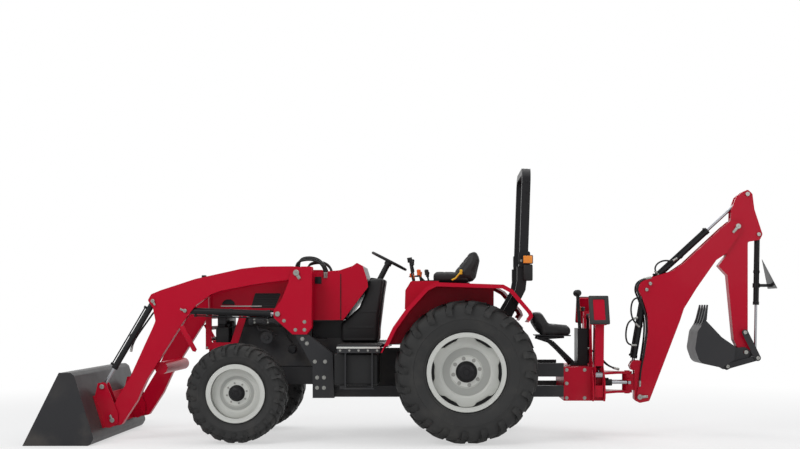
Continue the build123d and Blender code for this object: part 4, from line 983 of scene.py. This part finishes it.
# %% Model the grips
def grip(name, place, radius, height, material, body="tractor", ball=False):
    """A grip standing on a place in mm, spun round an upright axis."""
    if ball:
        section = [(radius * math.sin(step) + 0.4, radius - radius * math.cos(step)) for step in
                   (0.05 + index * (math.pi - 0.1) / 12 for index in range(13))]
    else:
        section = [(0.4, 0), (radius * 0.72, 0), (radius * 0.86, height * 0.08), (radius * 0.80, height * 0.3),
                   (radius, height * 0.7), (radius * 0.94, height * 0.9), (radius * 0.6, height), (0.4, height)]
    return dress(spun_ring(name, section, at(*place), axis=(0, 0, 1), steps=28), material, body)


for hand, side in (("left", -1), ("right", 1)):
    grip(f"lever_grip_front_{hand}", (-421, side * 320, 1466), 19, 52, ORANGE)
    grip(f"lever_grip_rear_{hand}", (-351, side * 320, 1466), 19, 52, PLASTIC)
    tube(f"handbrake_{hand}", [(-124, side * 246, 1424), (-90, side * 246, 1440), (-40, side * 246, 1500)], 8,
         "tractor", YELLOW if side < 0 else BLACK, order=2)
    grip(f"handbrake_grip_{hand}", (-40, side * 246, 1476), 14, 44, YELLOW if side < 0 else PLASTIC)
    grip(f"throttle_grip_{hand}", (-487, side * 300, 1446), 17, 38, ORANGE)
grip("joystick_grip", (-501, 330, 1574), 26, 62, PLASTIC)
tube("joystick_stem", [(-356, 330, 1400), (-430, 330, 1476), (-522, 330, 1470), (-484, 330, 1520), (-502, 330, 1596)],
     11, "tractor", BLACK, order=2)
for index, (x, y, z) in enumerate(((1037, -70, 1278), (1037, 70, 1278))):
    grip(f"backhoe_knob_{index}", (x, y, z), 31, 60, PLASTIC, ball=True)
for index, (x, y, z) in enumerate(((1085, -30, 1140), (1085, 30, 1140))):
    grip(f"stabiliser_knob_{index}", (x, y, z), 20, 42, ORANGE if index else PLASTIC)

# %% Fit the lamps on the roll bar
for hand, side in (("left", -1), ("right", 1)):
    low, high = sorted((side * 509, side * 518))
    amber = slab(f"amber_lens_{hand}", (506, low, 1568), (586, high, 1634))
    bevel(amber, 0.006, 3)
    dress(smooth(amber), AMBER, "tractor")
    low, high = sorted((side * 464, side * 514))
    housing = slab(f"lamp_housing_{hand}", (508, low, 1412), (590, high, 1558))
    bevel(housing, 0.012, 3)
    dress(smooth(housing), PLASTIC, "tractor")
print("lamps fitted")

# %% [markdown]
# ## Body trim
# The hood and the cowl carry plastic and bright trim: a half-round lamp and a strip on the hood's side,
# slats in its vent, and a boot of black plastic round the steering column. A black strip on the cowl is
# painted shade in its groove. Flat pieces are side views pulled out and given small rounds.

# %% Fit the trim
HOOD_SIDE = 322
COLUMN_BOOT = [(-877, 1429), (-742, 1444), (-786, 1100), (-792, 862), (-1126, 862), (-1126, 1030), (-960, 1180), (-898, 1330)]
boot = profile_block("console_boot", COLUMN_BOOT, -250, 250)
bevel(boot, 0.03, 4)
dress(smooth(boot), PLASTIC, "tractor")
for index, (low, high) in enumerate((((-1100, 900), (-820, 880)), ((-1080, 1010), (-830, 990)), ((-960, 1150), (-800, 1130)))):
    for side, hand in ((-1, "left"), (1, "right")):
        corners = [(low[0], low[1]), (high[0], low[1]), (high[0], high[1]), (low[0], high[1])]
        seam = profile_block(f"boot_rib_{index}_{hand}", corners, *sorted((side * 248, side * 254)))
        dress(bevel(seam, 0.002, 2), PLASTIC, "tractor")
for side, hand in ((-1, "left"), (1, "right")):
    low, high = sorted((side * HOOD_SIDE, side * (HOOD_SIDE + 4)))
    arc = [(-2128 + 58 * math.cos(step), 1200 + 50 * math.sin(step)) for step in (index * math.pi / 14 for index in range(15))]
    lamp = profile_block(f"side_lamp_{hand}", arc, low, high)
    dress(smooth(bevel(lamp, 0.0015, 2)), BLACK, "hood")
    strip = slab(f"hood_strip_{hand}", (-2196, low, 1184), (-1830, high, 1193))
    dress(bevel(strip, 0.0015, 2), SILVER, "hood")
    slats = []
    for index in range(7):
        z = 1190 + index * 16
        shift = (z - 1170) * 0.4
        piece = slab("slat", (-1918 + shift * 0.95, *sorted((side * 306, side * 319))[:1], z), (-1726 + shift, sorted((side * 306, side * 319))[1], z + 6))
        slats.append(spun(piece, at(-1820, side * 312, z + 3), side * 22, "X"))
    dress(joined(f"vent_slats_{hand}", slats), GREY, "hood")
    # A black strip on the cowl's side is painted shade in its groove.
    low, high = sorted((side * 331, side * 334))
    painted_groove_shade = slab(f"cowl_groove_shade_{hand}", (-1124, low, 1070), (-1116, high, 1476))
    dress(bevel(painted_groove_shade, 0.001, 2), BLACK, "tractor")
    low, high = sorted((side * 331, side * 337))
    bracket = slab(f"cowl_bracket_{hand}", (-1352, low, 1388), (-1292, high, 1452))
    dress(smooth(bevel(bracket, 0.004, 2)), BLACK, "tractor")
    low, high = sorted((side * 548, side * 559))
    parking = profile_block(f"parking_link_{hand}", [(-2524, 1006), (-2482, 1022), (-2366, 808), (-2378, 786), (-2404, 792)], low, high)
    dress(smooth(bevel(parking, 0.003, 2)), RED, "loader_arms")
    clamp = slab(f"arm_clamp_{hand}", (-2334, *sorted((side * 470, side * 512))[:1], 1438), (-2296, sorted((side * 470, side * 512))[1], 1462))
    dress(smooth(bevel(clamp, 0.006, 3)), PLASTIC, "loader_arms")

# %% [markdown]
# ## The engine's outside
# Between the hood's sill and the front wheel the engine shows: its exhaust manifold, an oil filter, the alternator,
# and pipes. In front of it stand the battery and a relay box.

# %% Dress the engine
def turned_part(name, place, sections, axis, material, body="tractor"):
    return dress(spun_ring(name, sections, at(*place), axis=axis, steps=36), material, body)


for side, hand in ((-1, "left"), (1, "right")):
    y = side * 262
    low, high = sorted((y, y + side * 34))
    manifold = slab(f"manifold_{hand}", (-1960, low, 1030), (-1500, high, 1082))
    dress(smooth(bevel(manifold, 0.014, 4)), CAST, "tractor")
    for index in range(4):
        x = -1930 + index * 120
        port = round_bar(f"manifold_port_{index}_{hand}", at(x, y - side * 6, 1056), at(x, y + side * 48, 1040), 0.024, 20)
        dress(port, CAST, "tractor")
    filter_body = [(0.5, 0), (36, 0), (42, 5), (42, 12), (38, 18), (38, 92), (30, 104), (10, 108), (0.5, 108)]
    turned_part(f"oil_filter_{hand}", (-1560, side * 262, 800), [(out, side * along * 0.6) for out, along in filter_body],
                (0, 1, 0), BLACK)
    pulley = [(0.5, 0), (18, 0), (22, 8), (54, 8), (58, 12), (48, 20), (58, 28), (54, 32), (24, 32), (20, 40), (0.5, 40)]
    turned_part(f"alternator_{hand}", (-1790, side * 264, 905), [(out, side * along) for out, along in pulley], (0, 1, 0), CAST)
    bolts(f"engine_bolts_{hand}", [(x, y + side * 36, z) for x in (-1900, -1780, -1660, -1540) for z in (1042, 1070)],
          (0, side, 0), 7, "tractor")
    for index, points in enumerate((
            [(-1880, y, 1010), (-1860, y + side * 26, 960), (-1800, y + side * 30, 980), (-1740, y + side * 20, 950), (-1700, y, 930)],
            [(-1640, y, 1010), (-1620, y + side * 28, 960), (-1600, y + side * 30, 900), (-1560, y + side * 10, 860)],
            [(-1760, y, 1090), (-1700, y + side * 24, 1110), (-1560, y + side * 26, 1100), (-1480, y, 1080)])):
        tube(f"engine_line_{index}_{hand}", points, 9 - index, "tractor", HOSE if index else CAST)
battery = slab("battery", (-2250, -284, 852), (-2134, 284, 1000))
dress(smooth(bevel(battery, 0.008, 3)), PLASTIC, "tractor")
relay = slab("relay_box", (-2236, -270, 1022), (-2160, 270, 1086))
dress(smooth(bevel(relay, 0.008, 3)), GREY, "tractor")
print("engine dressed")

# %% [markdown]
# ## Platform, pads and cutting edges
# The operator's platform has a ribbed rubber mat and a bright edge. Each stabiliser pad is faced with a
# block of rubber.

# %% Fit the mat, the edge and the pad rubbers
for side, hand in ((-1, "left"), (1, "right")):
    low, high = sorted((side * 205, side * 752))
    mat = [slab("mat", (-1108, low, 853), (-752, high, 856))]
    for index in range(14):
        x = -1096 + index * 25
        mat.append(slab("rib", (x, low + 12, 856), (x + 9, high - 12, 859)))
    dress(joined(f"platform_mat_{hand}", mat), RUBBER, "tractor")
    low, high = sorted((side * 760, side * 764))
    edge = slab(f"platform_edge_{hand}", (-1120, low, 822), (-746, high, 838))
    dress(bevel(edge, 0.0015, 2), SILVER, "tractor")
    bolts(f"step_bolts_{hand}", [(x, side * 762, 806) for x in (-1090, -1010, -930, -850, -770)], (0, side, 0), 7, "tractor")
    tip = Matrix.Rotation(-side * math.radians(64), 4, "X")
    pad = slab(f"pad_rubber_{hand}", (-88, -138, -2), (88, 138, 26))
    hollow = slab("hollow", (-50, -100, 6), (50, 100, 40))
    cut = pad.modifiers.new("hollow", "BOOLEAN")
    cut.operation = "DIFFERENCE"
    cut.object = hollow
    cut.solver = "EXACT"
    finish_modifiers(pad)
    gone(hollow)
    bevel(pad, 0.012, 3)
    pad.data.transform(Matrix.Translation(at(1170, side * 544.7, 1149.1)) @ tip @ Matrix.Translation(-AXLE))
    dress(smooth(pad), RUBBER, f"stabiliser_{hand}")
print("mat and pads fitted")

# %% [markdown]
# ## Floor
# A large plane catches the shadow. The camera sees it as white paper, and where the lamps don't reach
# it is a soft grey, as on a studio sweep.

# %% Lay the floor
bpy.ops.object.select_all(action="DESELECT")
bpy.ops.mesh.primitive_plane_add(size=60, location=(0, 0, -0.001))
floor = bpy.context.object
floor.name = "studio_floor"
paper = Finish("floor_paper", (0.92, 0.92, 0.92), 0.8)
far_off = paper.add("ShaderNodeVectorMath", {0: paper.place}, out="Value", operation="LENGTH")
looked_at = paper.add("ShaderNodeLightPath", out="Is Camera Ray")
through = paper.add("ShaderNodeLightPath", out="Is Transmission Ray")
mirrored = paper.add("ShaderNodeLightPath", out="Is Glossy Ray")
share = (looked_at + through + mirrored) * (far_off.above(3.2, 9.0) * 0.45 + 0.55)
glow = paper.add("ShaderNodeEmission", {"Color": (1, 1, 1, 1), "Strength": 1.0})
blend = paper.add("ShaderNodeMixShader", {0: share, 1: Wire(paper, paper.shader.outputs[0]), 2: glow})
paper.tree.links.new(blend.socket, paper.tree.nodes["Material Output"].inputs["Surface"])
floor.data.materials.append(paper.material)
